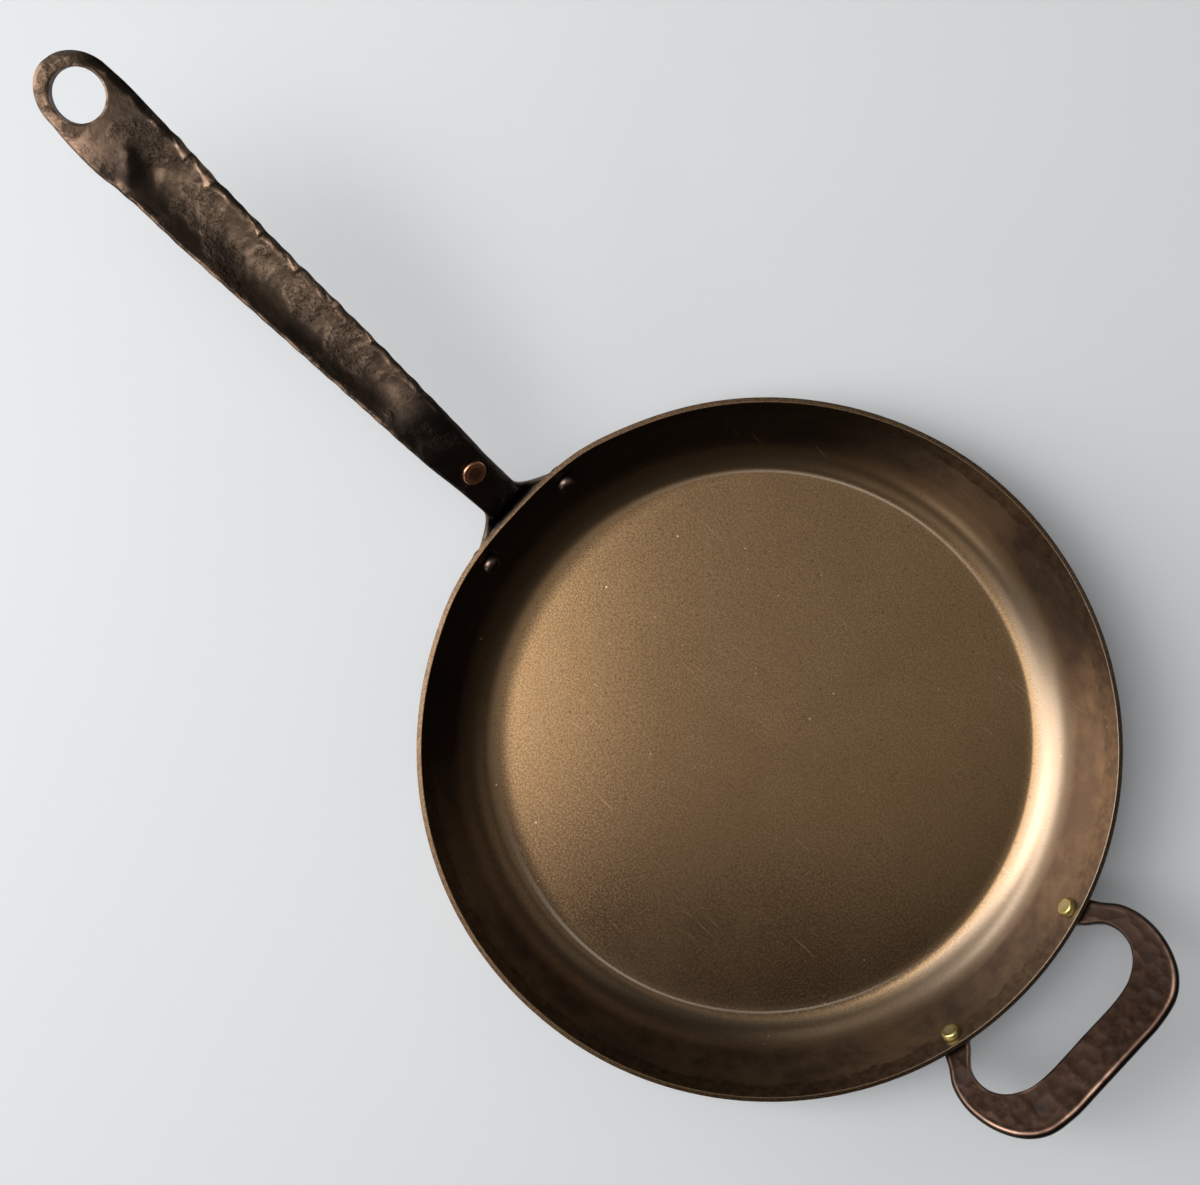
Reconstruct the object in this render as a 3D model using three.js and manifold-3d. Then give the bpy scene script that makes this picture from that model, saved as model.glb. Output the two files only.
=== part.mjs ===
// A forged carbon-steel skillet: a spun pan, a riveted long handle and a riveted helper handle.
// Millimetres, +Z up. The origin is the middle of the base, and the long handle points along +X.
import * as THREE from "three";
import { mergeVertices } from "three/addons/utils/BufferGeometryUtils.js";
import Module from "manifold-3d";

const wasm = await Module();
wasm.setup();

// Pan
const PAN_HEIGHT = 44.5;
const RIM_BORE_RADIUS = 150.2;
const FLOOR_RADIUS = 123.5;
const COVE_RADIUS = 16;
const SHEET = 2.5;

// Fits
const SEAT_GAP = 0.3;
const HOLE_CLEARANCE = 0.3;

// Bracket: a flange on the wall with a tang under the neck
const BRACKET_THICKNESS = 3;
const FLANGE_WIDTH = 66;
const FLANGE_TOP_DEPTH = 4.5;
const FLANGE_LENGTH = 21;
const FLANGE_SHOULDER_DROP = 3;
const FLANGE_CORNER = 7;
const TANG_PAST_RIVET = 9.2;
const TANG_FLARE_WIDTH = 50;
const TANG_FLARE_REACH = 11.5;

// Long handle
const NECK_LEAN = THREE.MathUtils.degToRad(26.67);
const NECK_DEPTH = 7.3;
const NECK_STANDOFF = 4.1;
const NECK_LENGTH = 42;
const NECK_WIDTH = 18.6;
const NECK_THICKNESS = 4.5;
const BEND_RADIUS = 55;
const GRIP_ANGLE = THREE.MathUtils.degToRad(12);
const EYE_ANGLE = THREE.MathUtils.degToRad(9);
const GRIP_LENGTH = 191.2;
const GRIP_WIDTH = 23;
const GRIP_END_WIDTH = 30.6;
const GRIP_THICKNESS = 4.2;
const TROUGH_DEPTH = 3.8;
const TROUGH_ROUND = 9;
const SHOULDER_WIDTH = 32.8;
const SHOULDER_TO_EYE = 27;
const EYE_WIDTH = 31.2;
const EYE_LENGTH = 22.4;
const EYE_BORE_WIDTH = 20.8;
const EYE_TIP_WALL = 7.1;
const EYE_THICKNESS = 6;
const EYE_ROLL = THREE.MathUtils.degToRad(9);
const TIP_DRIFT = 2.7;
const EDGE_CHAMFER = 1.1;

// Helper handle: a flat loop that rises from two feet on the wall
const HELPER_TURN = THREE.MathUtils.degToRad(180.45);
const HELPER_RISE = THREE.MathUtils.degToRad(32);
const HELPER_THICKNESS = 5.5;
const HELPER_ROOT_DEPTH = 1.5;
const HELPER_REACH = 53;
const HELPER_GRIP_WIDTH = 19.8;
const HELPER_SPAN = 112;
const HELPER_ARM_WIDTH = 11.8;
const HELPER_EDGE = 1.2;
const FOOT_WIDTH = 12.4;
const FOOT_THICKNESS = 4;
const FOOT_ABOVE_RIVET = 5.2;
const FOOT_BELOW_RIVET = 10.5;

// Rivets
const STEEL_RIVET_DEPTH = 11;
const STEEL_RIVET_ANGLE = THREE.MathUtils.degToRad(9.55);
const STEEL_HEAD_DIAMETER = 8.6;
const STEEL_HEAD_HEIGHT = 3.8;
const BRASS_RIVET_DEPTH = 7;
const BRASS_RIVET_ANGLE = THREE.MathUtils.degToRad(14.65);
const BRASS_HEAD_DIAMETER = 8.5;
const BRASS_HEAD_HEIGHT = 3.5;
const COPPER_RIVET_DISTANCE = 26.2;
const COPPER_HEAD_DIAMETER = 11.5;
const COPPER_HEAD_HEIGHT = 1.7;
const SHANK_DIAMETER = 5;
const TAIL_HEAD_DIAMETER = 7.8;
const TAIL_HEAD_HEIGHT = 1.7;

// Facets
const PAN_SEGMENTS = 96;
const COVE_STEPS = 7;
const RIVET_SEGMENTS = 18;
const CURVE_STEPS = 8;
const GRIP_STEPS = 22;
const TIP_STEPS = 10;

// A closed geometry as a solid: shared vertices merged, collapsed triangles dropped.
function solidOf(geometry) {
  const bare = new THREE.BufferGeometry();
  bare.setAttribute("position", geometry.getAttribute("position"));
  bare.setIndex(geometry.index);
  const merged = mergeVertices(bare, 1e-4);
  const source = merged.index.array;
  const kept = [];
  for (let i = 0; i < source.length; i += 3) {
    const [a, b, c] = [source[i], source[i + 1], source[i + 2]];
    if (a !== b && b !== c && c !== a) kept.push(a, b, c);
  }
  const vertProperties = merged.getAttribute("position").array;
  return new wasm.Manifold(new wasm.Mesh({ numProp: 3, vertProperties, triVerts: new Uint32Array(kept) }));
}

// A solid as a named mesh with its own finish.
function meshOf(name, solid, finish) {
  const { vertProperties, triVerts } = solid.getMesh();
  const geometry = new THREE.BufferGeometry();
  geometry.setAttribute("position", new THREE.BufferAttribute(vertProperties, 3));
  geometry.setIndex(new THREE.BufferAttribute(triVerts, 1));
  geometry.computeVertexNormals();
  const mesh = new THREE.Mesh(geometry, new THREE.MeshStandardMaterial(finish));
  mesh.name = name;
  return mesh;
}

// A profile of [radius, height] points turned about Z, from the axis round to the axis.
function turned(profile, segments) {
  const points = profile.map(([radius, height]) => new THREE.Vector2(radius, height));
  return new THREE.LatheGeometry(points, segments).rotateX(Math.PI / 2);
}

// Closed rings of equally many points joined in order, with a fan over each end.
function lofted(rings) {
  const count = rings[0].length;
  const positions = rings.flat().flatMap((point) => point.toArray());
  const index = [];
  for (let r = 0; r + 1 < rings.length; r++) {
    for (let k = 0; k < count; k++) {
      const a = r * count + k;
      const b = r * count + ((k + 1) % count);
      index.push(a, b, b + count, a, b + count, a + count);
    }
  }
  const last = (rings.length - 1) * count;
  for (let k = 1; k + 1 < count; k++) {
    index.push(0, k + 1, k, last, last + k, last + k + 1);
  }
  const geometry = new THREE.BufferGeometry();
  geometry.setAttribute("position", new THREE.Float32BufferAttribute(positions, 3));
  geometry.setIndex(index);
  return geometry;
}

// The wall stands tangent to the cove and passes through the rim's inner corner.
const coveHeight = SHEET + COVE_RADIUS;
const rimRun = RIM_BORE_RADIUS - FLOOR_RADIUS;
const rimRise = PAN_HEIGHT - coveHeight;
const wallSlope = Math.atan2(rimRise, rimRun) + Math.asin(COVE_RADIUS / Math.hypot(rimRun, rimRise));
const wallUp = new THREE.Vector3(Math.cos(wallSlope), 0, Math.sin(wallSlope));
const wallOut = new THREE.Vector3(Math.sin(wallSlope), 0, -Math.cos(wallSlope));
const rimCorner = new THREE.Vector3(RIM_BORE_RADIUS, 0, PAN_HEIGHT);

// A point in the XZ plane at a depth down the wall from the rim, and a distance outside its inner face.
function wallPoint(depth, outside) {
  return rimCorner.clone().addScaledVector(wallUp, -depth).addScaledVector(wallOut, outside);
}

// The pan's contour from the axis to the rim, at a distance outside its inner face.
function panContour(outside, beyondRim = 0) {
  const contour = [[0, SHEET - outside]];
  const radius = COVE_RADIUS + outside;
  for (let i = 0; i <= COVE_STEPS; i++) {
    const turn = (wallSlope * i) / COVE_STEPS;
    contour.push([FLOOR_RADIUS + radius * Math.sin(turn), coveHeight - radius * Math.cos(turn)]);
  }
  const end = wallPoint(-beyondRim, outside);
  contour.push([end.x, end.z]);
  return contour;
}

// Everything inside the pan's contour, reaching past the rim: it trims what seats on the wall.
function panEnvelope(outside) {
  const beyondRim = PAN_HEIGHT;
  const contour = panContour(outside, beyondRim);
  contour.push([0, contour.at(-1)[1]]);
  return solidOf(turned(contour, PAN_SEGMENTS));
}
const insideSeat = panEnvelope(SHEET + SEAT_GAP);

// A frame on the wall: x along the rim, y up the wall, z out of the wall, at an angle about Z.
function wallFrame(depth, outside, angle) {
  const origin = wallPoint(depth, outside);
  const along = new THREE.Vector3(0, 1, 0);
  const frame = new THREE.Matrix4().makeBasis(along, wallUp, wallOut).setPosition(origin);
  return frame.premultiply(new THREE.Matrix4().makeRotationZ(angle));
}

// A flat outline raised from the wall and trimmed to a plate that follows it.
function wallPlate(outline, frame, thickness) {
  const depth = 2 * (thickness + SHEET);
  const block = new THREE.ExtrudeGeometry(outline, { depth, bevelEnabled: false, curveSegments: CURVE_STEPS });
  const raised = solidOf(block.translate(0, 0, -depth / 2).applyMatrix4(frame));
  return raised.intersect(panEnvelope(SHEET + SEAT_GAP + thickness)).subtract(insideSeat);
}

// A rivet along +Z: the layers it holds lie between z = 0 and the grip length.
function rivetProfile(head, grip) {
  const shank = SHANK_DIAMETER / 2;
  const tail = TAIL_HEAD_DIAMETER / 2;
  const tailSeat = grip + SEAT_GAP;
  return [
    [0, -SEAT_GAP - head.height],
    [head.face / 2, -SEAT_GAP - head.height],
    [head.diameter / 2, -SEAT_GAP - head.height * head.shoulder],
    [head.diameter / 2, -SEAT_GAP],
    [shank, -SEAT_GAP],
    [shank, tailSeat],
    [tail, tailSeat],
    [tail * 0.82, tailSeat + TAIL_HEAD_HEIGHT * 0.7],
    [tail * 0.4, tailSeat + TAIL_HEAD_HEIGHT],
    [0, tailSeat + TAIL_HEAD_HEIGHT],
  ];
}
function rivetSolid(head, grip, frame) {
  return solidOf(turned(rivetProfile(head, grip), RIVET_SEGMENTS).applyMatrix4(frame));
}
// A rivet's hole, opened out past the layers so that its tail head stands clear.
function rivetHole(grip, frame) {
  const radius = SHANK_DIAMETER / 2 + HOLE_CLEARANCE;
  const tailRadius = TAIL_HEAD_DIAMETER / 2 + HOLE_CLEARANCE;
  const over = grip + SHEET;
  const tailSeat = grip + SEAT_GAP / 2;
  const tailEnd = grip + 2 * SEAT_GAP + TAIL_HEAD_HEIGHT;
  const bore = [
    [0, -over],
    [radius, -over],
    [radius, tailSeat],
    [tailRadius, tailSeat],
    [tailRadius, tailEnd],
    [0, tailEnd],
  ];
  return solidOf(turned(bore, RIVET_SEGMENTS).applyMatrix4(frame));
}

// Where each rivet stands, the head it has, and what it holds together
const steelHead = {
  diameter: STEEL_HEAD_DIAMETER,
  height: STEEL_HEAD_HEIGHT,
  face: STEEL_HEAD_DIAMETER * 0.5,
  shoulder: 0.5,
};
const brassHead = {
  diameter: BRASS_HEAD_DIAMETER,
  height: BRASS_HEAD_HEIGHT,
  face: BRASS_HEAD_DIAMETER * 0.8,
  shoulder: 0.75,
};
const copperHead = {
  diameter: COPPER_HEAD_DIAMETER,
  height: COPPER_HEAD_HEIGHT,
  face: COPPER_HEAD_DIAMETER * 0.6,
  shoulder: 0.45,
};
const bracketGrip = SHEET + SEAT_GAP + BRACKET_THICKNESS;
const footGrip = SHEET + SEAT_GAP + FOOT_THICKNESS;
const neckGrip = NECK_THICKNESS + SEAT_GAP + BRACKET_THICKNESS;
const steelFrames = [-STEEL_RIVET_ANGLE, STEEL_RIVET_ANGLE].map((angle) =>
  wallFrame(STEEL_RIVET_DEPTH, 0, angle),
);
const brassFrames = [-BRASS_RIVET_ANGLE, BRASS_RIVET_ANGLE].map((angle) =>
  wallFrame(BRASS_RIVET_DEPTH, 0, HELPER_TURN + angle),
);

// The long handle's centre line: a straight neck that leans out from the wall, a bend, and a grip that
// flattens towards the eye.
const neckAngle = wallSlope - NECK_LEAN;
const neckStart = wallPoint(NECK_DEPTH, SHEET + SEAT_GAP + BRACKET_THICKNESS).addScaledVector(
  new THREE.Vector3(Math.cos(neckAngle), 0, Math.sin(neckAngle)),
  NECK_STANDOFF,
);
const bendLength = BEND_RADIUS * (neckAngle - GRIP_ANGLE);
const gripStart = NECK_LENGTH + bendLength;
const handleLength = gripStart + GRIP_LENGTH;
const eyeCentre = handleLength - EYE_TIP_WALL - EYE_LENGTH / 2;
const shoulderPlace = eyeCentre - SHOULDER_TO_EYE;

// A run of the centre line from one slope to another, as an arc or a straight line.
function arcEnd(start, length, fromAngle, toAngle) {
  const middle = (fromAngle + toAngle) / 2;
  const half = (toAngle - fromAngle) / 2;
  const chord = half === 0 ? length : (length * Math.sin(half)) / half;
  return new THREE.Vector3(start.x + chord * Math.cos(middle), 0, start.z + chord * Math.sin(middle));
}
const bendStart = arcEnd(neckStart, NECK_LENGTH, neckAngle, neckAngle);
const bendEnd = arcEnd(bendStart, bendLength, neckAngle, GRIP_ANGLE);

// The frame of the handle at a distance along it: x across, y out of its top face, z along it.
function handleFrame(distance) {
  let slope = neckAngle;
  let point;
  if (distance <= NECK_LENGTH) {
    point = arcEnd(neckStart, distance, neckAngle, neckAngle);
  } else if (distance <= gripStart) {
    const run = distance - NECK_LENGTH;
    slope = neckAngle - run / BEND_RADIUS;
    point = arcEnd(bendStart, run, neckAngle, slope);
  } else {
    const run = distance - gripStart;
    slope = GRIP_ANGLE + ((EYE_ANGLE - GRIP_ANGLE) * run) / GRIP_LENGTH;
    point = arcEnd(bendEnd, run, GRIP_ANGLE, slope);
  }
  point.y = -TIP_DRIFT * (distance / handleLength) ** 3;
  const along = new THREE.Vector3(Math.cos(slope), 0, Math.sin(slope));
  const up = new THREE.Vector3(-Math.sin(slope), 0, Math.cos(slope));
  const roll = EYE_ROLL * THREE.MathUtils.smoothstep(distance, gripStart, eyeCentre);
  up.applyAxisAngle(along, -roll);
  const across = new THREE.Vector3().crossVectors(up, along);
  return new THREE.Matrix4().makeBasis(across, up, along).setPosition(point);
}

// Half of the handle's width: a curve through the widths of its stretches, closed by a round tip.
const gripRun = shoulderPlace - 1.6 * TROUGH_ROUND - gripStart;
const gripTaper = [0, 1 / 3, 2 / 3, 1].map((share) => {
  const width = THREE.MathUtils.lerp(GRIP_WIDTH, GRIP_END_WIDTH, share);
  return new THREE.Vector2(gripStart + gripRun * share, width);
});
const widthCurve = new THREE.SplineCurve([
  new THREE.Vector2(0, NECK_WIDTH),
  new THREE.Vector2(NECK_LENGTH * 0.7, NECK_WIDTH),
  ...gripTaper,
  new THREE.Vector2(shoulderPlace, SHOULDER_WIDTH),
  new THREE.Vector2(eyeCentre, EYE_WIDTH),
]);
const widthSamples = widthCurve.getPoints(20 * CURVE_STEPS);
function halfWidth(distance) {
  if (distance >= eyeCentre) {
    const along = (distance - eyeCentre) / (handleLength - eyeCentre);
    return (EYE_WIDTH / 2) * Math.sqrt(Math.max(0, 1 - along * along));
  }
  const next = widthSamples.findIndex((sample) => sample.x >= distance);
  const high = widthSamples[Math.max(1, next)];
  const low = widthSamples[Math.max(1, next) - 1];
  const share = (distance - low.x) / (high.x - low.x);
  return THREE.MathUtils.lerp(low.y, high.y, share) / 2;
}

// How far the trough has sunk, from 0 on the neck and the eye to 1 along the grip.
function troughShare(distance) {
  const opening = THREE.MathUtils.smoothstep(distance, gripStart - TROUGH_ROUND, gripStart + TROUGH_ROUND);
  const closing = THREE.MathUtils.smoothstep(distance, shoulderPlace - TROUGH_ROUND, shoulderPlace + TROUGH_ROUND / 2);
  return opening * (1 - closing);
}

// A cross-section of the handle: a flat bar whose middle sinks by the trough's depth.
const crossStations = [-1, -0.7, -0.35, 0, 0.35, 0.7, 1];
function handleRing(distance) {
  const half = Math.max(halfWidth(distance), EDGE_CHAMFER * 1.2);
  const towardsGrip = THREE.MathUtils.smoothstep(distance, NECK_LENGTH, gripStart);
  const towardsEye = THREE.MathUtils.smoothstep(distance, shoulderPlace - TROUGH_ROUND, eyeCentre);
  const grip = THREE.MathUtils.lerp(NECK_THICKNESS, GRIP_THICKNESS, towardsGrip);
  const thick = THREE.MathUtils.lerp(grip, EYE_THICKNESS, towardsEye) / 2;
  const depth = TROUGH_DEPTH * troughShare(distance);
  const flat = half - EDGE_CHAMFER;
  const sink = (station) => depth * (1 - station * station);
  const top = crossStations.map((station) => [-station * flat, thick - sink(station)]);
  const bottom = crossStations.map((station) => [station * flat, -thick - sink(station)]);
  const side = thick - EDGE_CHAMFER;
  const outline = [...top, [-half, side], [-half, -side], ...bottom, [half, -side], [half, side]];
  const frame = handleFrame(distance);
  return outline.map(([across, up]) => new THREE.Vector3(across, up, 0).applyMatrix4(frame));
}

function handleStations() {
  const stations = [];
  const stretch = (from, to, steps) => {
    for (let i = 0; i < steps; i++) stations.push(from + ((to - from) * i) / steps);
  };
  stretch(0, NECK_LENGTH, 4);
  stretch(NECK_LENGTH, gripStart + TROUGH_ROUND, CURVE_STEPS);
  stretch(gripStart + TROUGH_ROUND, shoulderPlace - TROUGH_ROUND, GRIP_STEPS);
  stretch(shoulderPlace - TROUGH_ROUND, eyeCentre, CURVE_STEPS);
  for (let i = 0; i <= TIP_STEPS; i++) {
    const turn = (Math.PI / 2) * (i / TIP_STEPS);
    stations.push(eyeCentre + (handleLength - eyeCentre) * Math.sin(turn));
  }
  return stations;
}

function eyeCutter() {
  const bore = new THREE.Shape();
  bore.absellipse(0, 0, EYE_BORE_WIDTH / 2, EYE_LENGTH / 2, 0, 2 * Math.PI);
  const depth = 4 * EYE_THICKNESS;
  const cutter = new THREE.ExtrudeGeometry(bore, { depth, bevelEnabled: false, curveSegments: 3 * CURVE_STEPS });
  cutter.translate(0, 0, -depth / 2).rotateX(Math.PI / 2);
  return solidOf(cutter.applyMatrix4(handleFrame(eyeCentre)));
}

// The copper rivet's frame: its axis runs down from the neck's top face.
function copperFrame() {
  const turn = new THREE.Matrix4().makeRotationX(Math.PI / 2);
  const seat = new THREE.Matrix4().makeTranslation(0, NECK_THICKNESS / 2, 0);
  return handleFrame(COPPER_RIVET_DISTANCE).multiply(seat).multiply(turn);
}
const copperPlace = copperFrame();

function longHandle() {
  return solidOf(lofted(handleStations().map(handleRing)))
    .subtract(eyeCutter())
    .subtract(rivetHole(neckGrip, copperPlace));
}

// The bracket's flange, drawn on the wall with its top edge at y = 0.
function flangeOutline() {
  const half = FLANGE_WIDTH / 2;
  const shoulder = -FLANGE_SHOULDER_DROP;
  const foot = -FLANGE_LENGTH;
  const outline = new THREE.Shape();
  outline.moveTo(-half + FLANGE_CORNER, shoulder);
  outline.quadraticCurveTo(-half, shoulder, -half, shoulder - FLANGE_CORNER);
  outline.quadraticCurveTo(-half, foot, -half / 3, foot);
  outline.lineTo(half / 3, foot);
  outline.quadraticCurveTo(half, foot, half, shoulder - FLANGE_CORNER);
  outline.quadraticCurveTo(half, shoulder, half - FLANGE_CORNER, shoulder);
  outline.lineTo(NECK_WIDTH / 2, 0);
  outline.lineTo(-NECK_WIDTH / 2, 0);
  return outline;
}

// The tang in its own plane: as wide as the neck, flaring where it meets the flange. x runs out from there.
function tangOutline(length) {
  const half = NECK_WIDTH / 2;
  const flare = TANG_FLARE_WIDTH / 2;
  const bend = TANG_FLARE_REACH * 0.6;
  const root = -4 * BRACKET_THICKNESS;
  const outline = new THREE.Shape();
  outline.moveTo(root, -flare);
  outline.lineTo(0, -flare);
  outline.quadraticCurveTo(bend, -half, TANG_FLARE_REACH, -half);
  outline.lineTo(length - half, -half);
  outline.absarc(length - half, 0, half, -Math.PI / 2, Math.PI / 2, false);
  outline.lineTo(TANG_FLARE_REACH, half);
  outline.quadraticCurveTo(bend, half, 0, flare);
  outline.lineTo(root, flare);
  return outline;
}

function handleBracket() {
  const flange = wallPlate(flangeOutline(), wallFrame(FLANGE_TOP_DEPTH, 0, 0), BRACKET_THICKNESS);
  // The tang lies along the neck, under it, from the flange to a little past the copper rivet.
  const below = NECK_THICKNESS / 2 + SEAT_GAP;
  const rootRun = NECK_STANDOFF + below / Math.tan(NECK_LEAN);
  const tang = new THREE.ExtrudeGeometry(tangOutline(rootRun + COPPER_RIVET_DISTANCE + TANG_PAST_RIVET), {
    depth: BRACKET_THICKNESS,
    bevelEnabled: false,
    curveSegments: CURVE_STEPS,
  });
  tang.translate(-rootRun, 0, -below - BRACKET_THICKNESS).rotateY(-neckAngle);
  tang.translate(neckStart.x, 0, neckStart.z);
  let bracket = solidOf(tang).subtract(insideSeat).add(flange);
  for (const frame of steelFrames) bracket = bracket.subtract(rivetHole(bracketGrip, frame));
  return bracket.subtract(rivetHole(neckGrip, copperPlace));
}

// The helper's loop in its own plane: x runs outwards from the wall and y along the rim.
function helperOutline() {
  const outer = HELPER_REACH;
  const inner = HELPER_REACH - HELPER_GRIP_WIDTH;
  const side = HELPER_SPAN / 2;
  const sideInner = side - HELPER_ARM_WIDTH;
  const footMiddle = wallPoint(BRASS_RIVET_DEPTH, SHEET).x * Math.sin(BRASS_RIVET_ANGLE);
  const footOuter = footMiddle + FOOT_WIDTH / 2;
  const footInner = footMiddle - FOOT_WIDTH / 2;
  const end = -2 * HELPER_THICKNESS;
  const outline = new THREE.Shape();
  outline.moveTo(end, -footOuter);
  outline.bezierCurveTo(outer * 0.04, -footOuter * 1.1, outer * 0.15, -side, outer / 3, -side);
  outline.bezierCurveTo(outer * 0.67, -side, outer, -side * 0.78, outer, -side * 0.5);
  outline.lineTo(outer, side * 0.5);
  outline.bezierCurveTo(outer, side * 0.78, outer * 0.67, side, outer / 3, side);
  outline.bezierCurveTo(outer * 0.15, side, outer * 0.04, footOuter * 1.1, end, footOuter);
  outline.lineTo(end, footInner);
  outline.bezierCurveTo(inner * 0.06, footInner * 1.08, inner * 0.12, sideInner, inner * 0.42, sideInner);
  outline.bezierCurveTo(inner * 0.72, sideInner, inner, sideInner * 0.79, inner, sideInner * 0.48);
  outline.lineTo(inner, -sideInner * 0.48);
  outline.bezierCurveTo(inner, -sideInner * 0.79, inner * 0.72, -sideInner, inner * 0.42, -sideInner);
  outline.bezierCurveTo(inner * 0.12, -sideInner, inner * 0.06, -footInner * 1.08, end, -footInner);
  return outline;
}

// A foot on the wall round its rivet, square above and round below.
function footOutline() {
  const half = FOOT_WIDTH / 2;
  const outline = new THREE.Shape();
  outline.moveTo(half, FOOT_ABOVE_RIVET);
  outline.lineTo(-half, FOOT_ABOVE_RIVET);
  outline.lineTo(-half, half - FOOT_BELOW_RIVET);
  outline.absarc(0, half - FOOT_BELOW_RIVET, half, Math.PI, 2 * Math.PI, false);
  return outline;
}

function helperHandle() {
  const plate = new THREE.ExtrudeGeometry(helperOutline(), {
    depth: HELPER_THICKNESS - 2 * HELPER_EDGE,
    bevelSize: HELPER_EDGE,
    bevelOffset: -HELPER_EDGE,
    bevelThickness: HELPER_EDGE,
    bevelSegments: 2,
    curveSegments: CURVE_STEPS,
  });
  const root = wallPoint(HELPER_ROOT_DEPTH, SHEET + SEAT_GAP + HELPER_THICKNESS / 2);
  const rootX = root.x * Math.cos(BRASS_RIVET_ANGLE);
  plate.translate(0, 0, HELPER_EDGE - HELPER_THICKNESS / 2).rotateY(-HELPER_RISE);
  plate.translate(rootX, 0, root.z).rotateZ(HELPER_TURN);
  let helper = solidOf(plate).subtract(insideSeat);
  for (const frame of brassFrames) helper = helper.add(wallPlate(footOutline(), frame, FOOT_THICKNESS));
  for (const frame of brassFrames) helper = helper.subtract(rivetHole(footGrip, frame));
  return helper;
}

function panBody() {
  const outside = panContour(SHEET);
  const inside = panContour(0).reverse();
  let pan = solidOf(turned([...outside, ...inside], PAN_SEGMENTS));
  for (const frame of steelFrames) pan = pan.subtract(rivetHole(bracketGrip, frame));
  for (const frame of brassFrames) pan = pan.subtract(rivetHole(footGrip, frame));
  return pan;
}

// Finishes
const bronzedSteel = { color: 0x7d6143, roughness: 0.42, metalness: 1 };
const forgedSteel = { color: 0x4a382b, roughness: 0.5, metalness: 1 };
const helperSteel = { color: 0x3f2c24, roughness: 0.5, metalness: 1 };
const rivetSteel = { color: 0x45362b, roughness: 0.4, metalness: 1 };
const copper = { color: 0x9c5a3c, roughness: 0.35, metalness: 1 };
const brass = { color: 0xb59a44, roughness: 0.35, metalness: 1 };

const skillet = new THREE.Group();
skillet.add(meshOf("pan_body", panBody(), bronzedSteel));
skillet.add(meshOf("handle_bracket", handleBracket(), forgedSteel));
skillet.add(meshOf("long_handle", longHandle(), forgedSteel));
skillet.add(meshOf("helper_handle", helperHandle(), helperSteel));
skillet.add(meshOf("copper_handle_rivet", rivetSolid(copperHead, neckGrip, copperPlace), copper));
const sideNames = ["right", "left"];
sideNames.forEach((side, i) => {
  const steel = rivetSolid(steelHead, bracketGrip, steelFrames[i]);
  const brassRivet = rivetSolid(brassHead, footGrip, brassFrames[i]);
  skillet.add(meshOf(`steel_bracket_rivet_${side}`, steel, rivetSteel));
  skillet.add(meshOf(`brass_helper_rivet_${side}`, brassRivet, brass));
});

export default skillet;
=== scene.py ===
from math import atan2, cos, radians, sin, sqrt, tan

import bmesh
import bpy
import numpy as np
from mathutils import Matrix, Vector


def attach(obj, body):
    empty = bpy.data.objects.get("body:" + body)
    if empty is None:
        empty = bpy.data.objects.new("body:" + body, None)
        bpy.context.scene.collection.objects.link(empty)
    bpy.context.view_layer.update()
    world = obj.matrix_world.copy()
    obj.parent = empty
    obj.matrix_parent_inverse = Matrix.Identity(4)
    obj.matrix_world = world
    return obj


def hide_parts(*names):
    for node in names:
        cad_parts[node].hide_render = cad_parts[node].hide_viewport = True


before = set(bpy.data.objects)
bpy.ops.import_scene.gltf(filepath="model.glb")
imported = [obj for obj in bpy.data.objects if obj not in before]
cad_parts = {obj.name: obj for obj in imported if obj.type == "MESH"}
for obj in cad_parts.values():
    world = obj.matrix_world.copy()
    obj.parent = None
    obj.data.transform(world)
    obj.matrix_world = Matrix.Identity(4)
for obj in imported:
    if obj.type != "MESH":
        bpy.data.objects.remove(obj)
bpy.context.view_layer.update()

# Sizes are in millimetres, as on the solids, and become metres when a mesh is made.
MM = 0.001
MERGE_DISTANCE = 2e-6
FLAT_DISTANCE = 1e-7

# Pan
PAN_HEIGHT = 44.5
RIM_BORE_RADIUS = 150.2
SHEET = 2.5
WALL_SLOPE = radians(69.67)
CREASE_TURN = radians(13)
CREASE_END = 124.4
CREASE_LENGTH = 5
SOFT_LENGTH = 7.5
SOFT_SIDE = radians(30)
SOFT_REACH = radians(55)
RIM_ROUND = 0.4
SEAT_GAP = 0.3
PAN_COLUMNS = 512
FLOOR_ROWS = 16
UNDER_ROWS = 10
CREASE_ROWS = 11
COVE_ROWS = 26
WALL_ROWS = 16
# Bulges of the rim, each as an angle, a width in angle and a height
RIM_BULGES = ((-0.26, 0.11, 0.8), (0.28, 0.12, 0.7), (0.0, 0.09, -0.5), (1.2, 0.3, 0.35), (2.3, 0.35, -0.3),
              (3.6, 0.4, 0.3), (4.5, 0.3, -0.35), (5.2, 0.35, -0.5))
WAVE_START = 4
# Angle over which the rim's filed mark fades behind the neck, as painted shade
NECK_SHADE = radians(7)
# Stretches of the crease with a painted highlight, each as an angle and a width in degrees and a strength
CREASE_HIGHLIGHT_STRETCHES = ((-68, 34, 1.0), (100, 26, 1.0), (145, 20, 0.6))
CREASE_HIGHLIGHT_ROWS = (6, 8)
# The wall's directions in the plane of the handle: up along it and out through it
WALL_UP = np.array([cos(WALL_SLOPE), sin(WALL_SLOPE)])
WALL_OUT = np.array([sin(WALL_SLOPE), -cos(WALL_SLOPE)])

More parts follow.
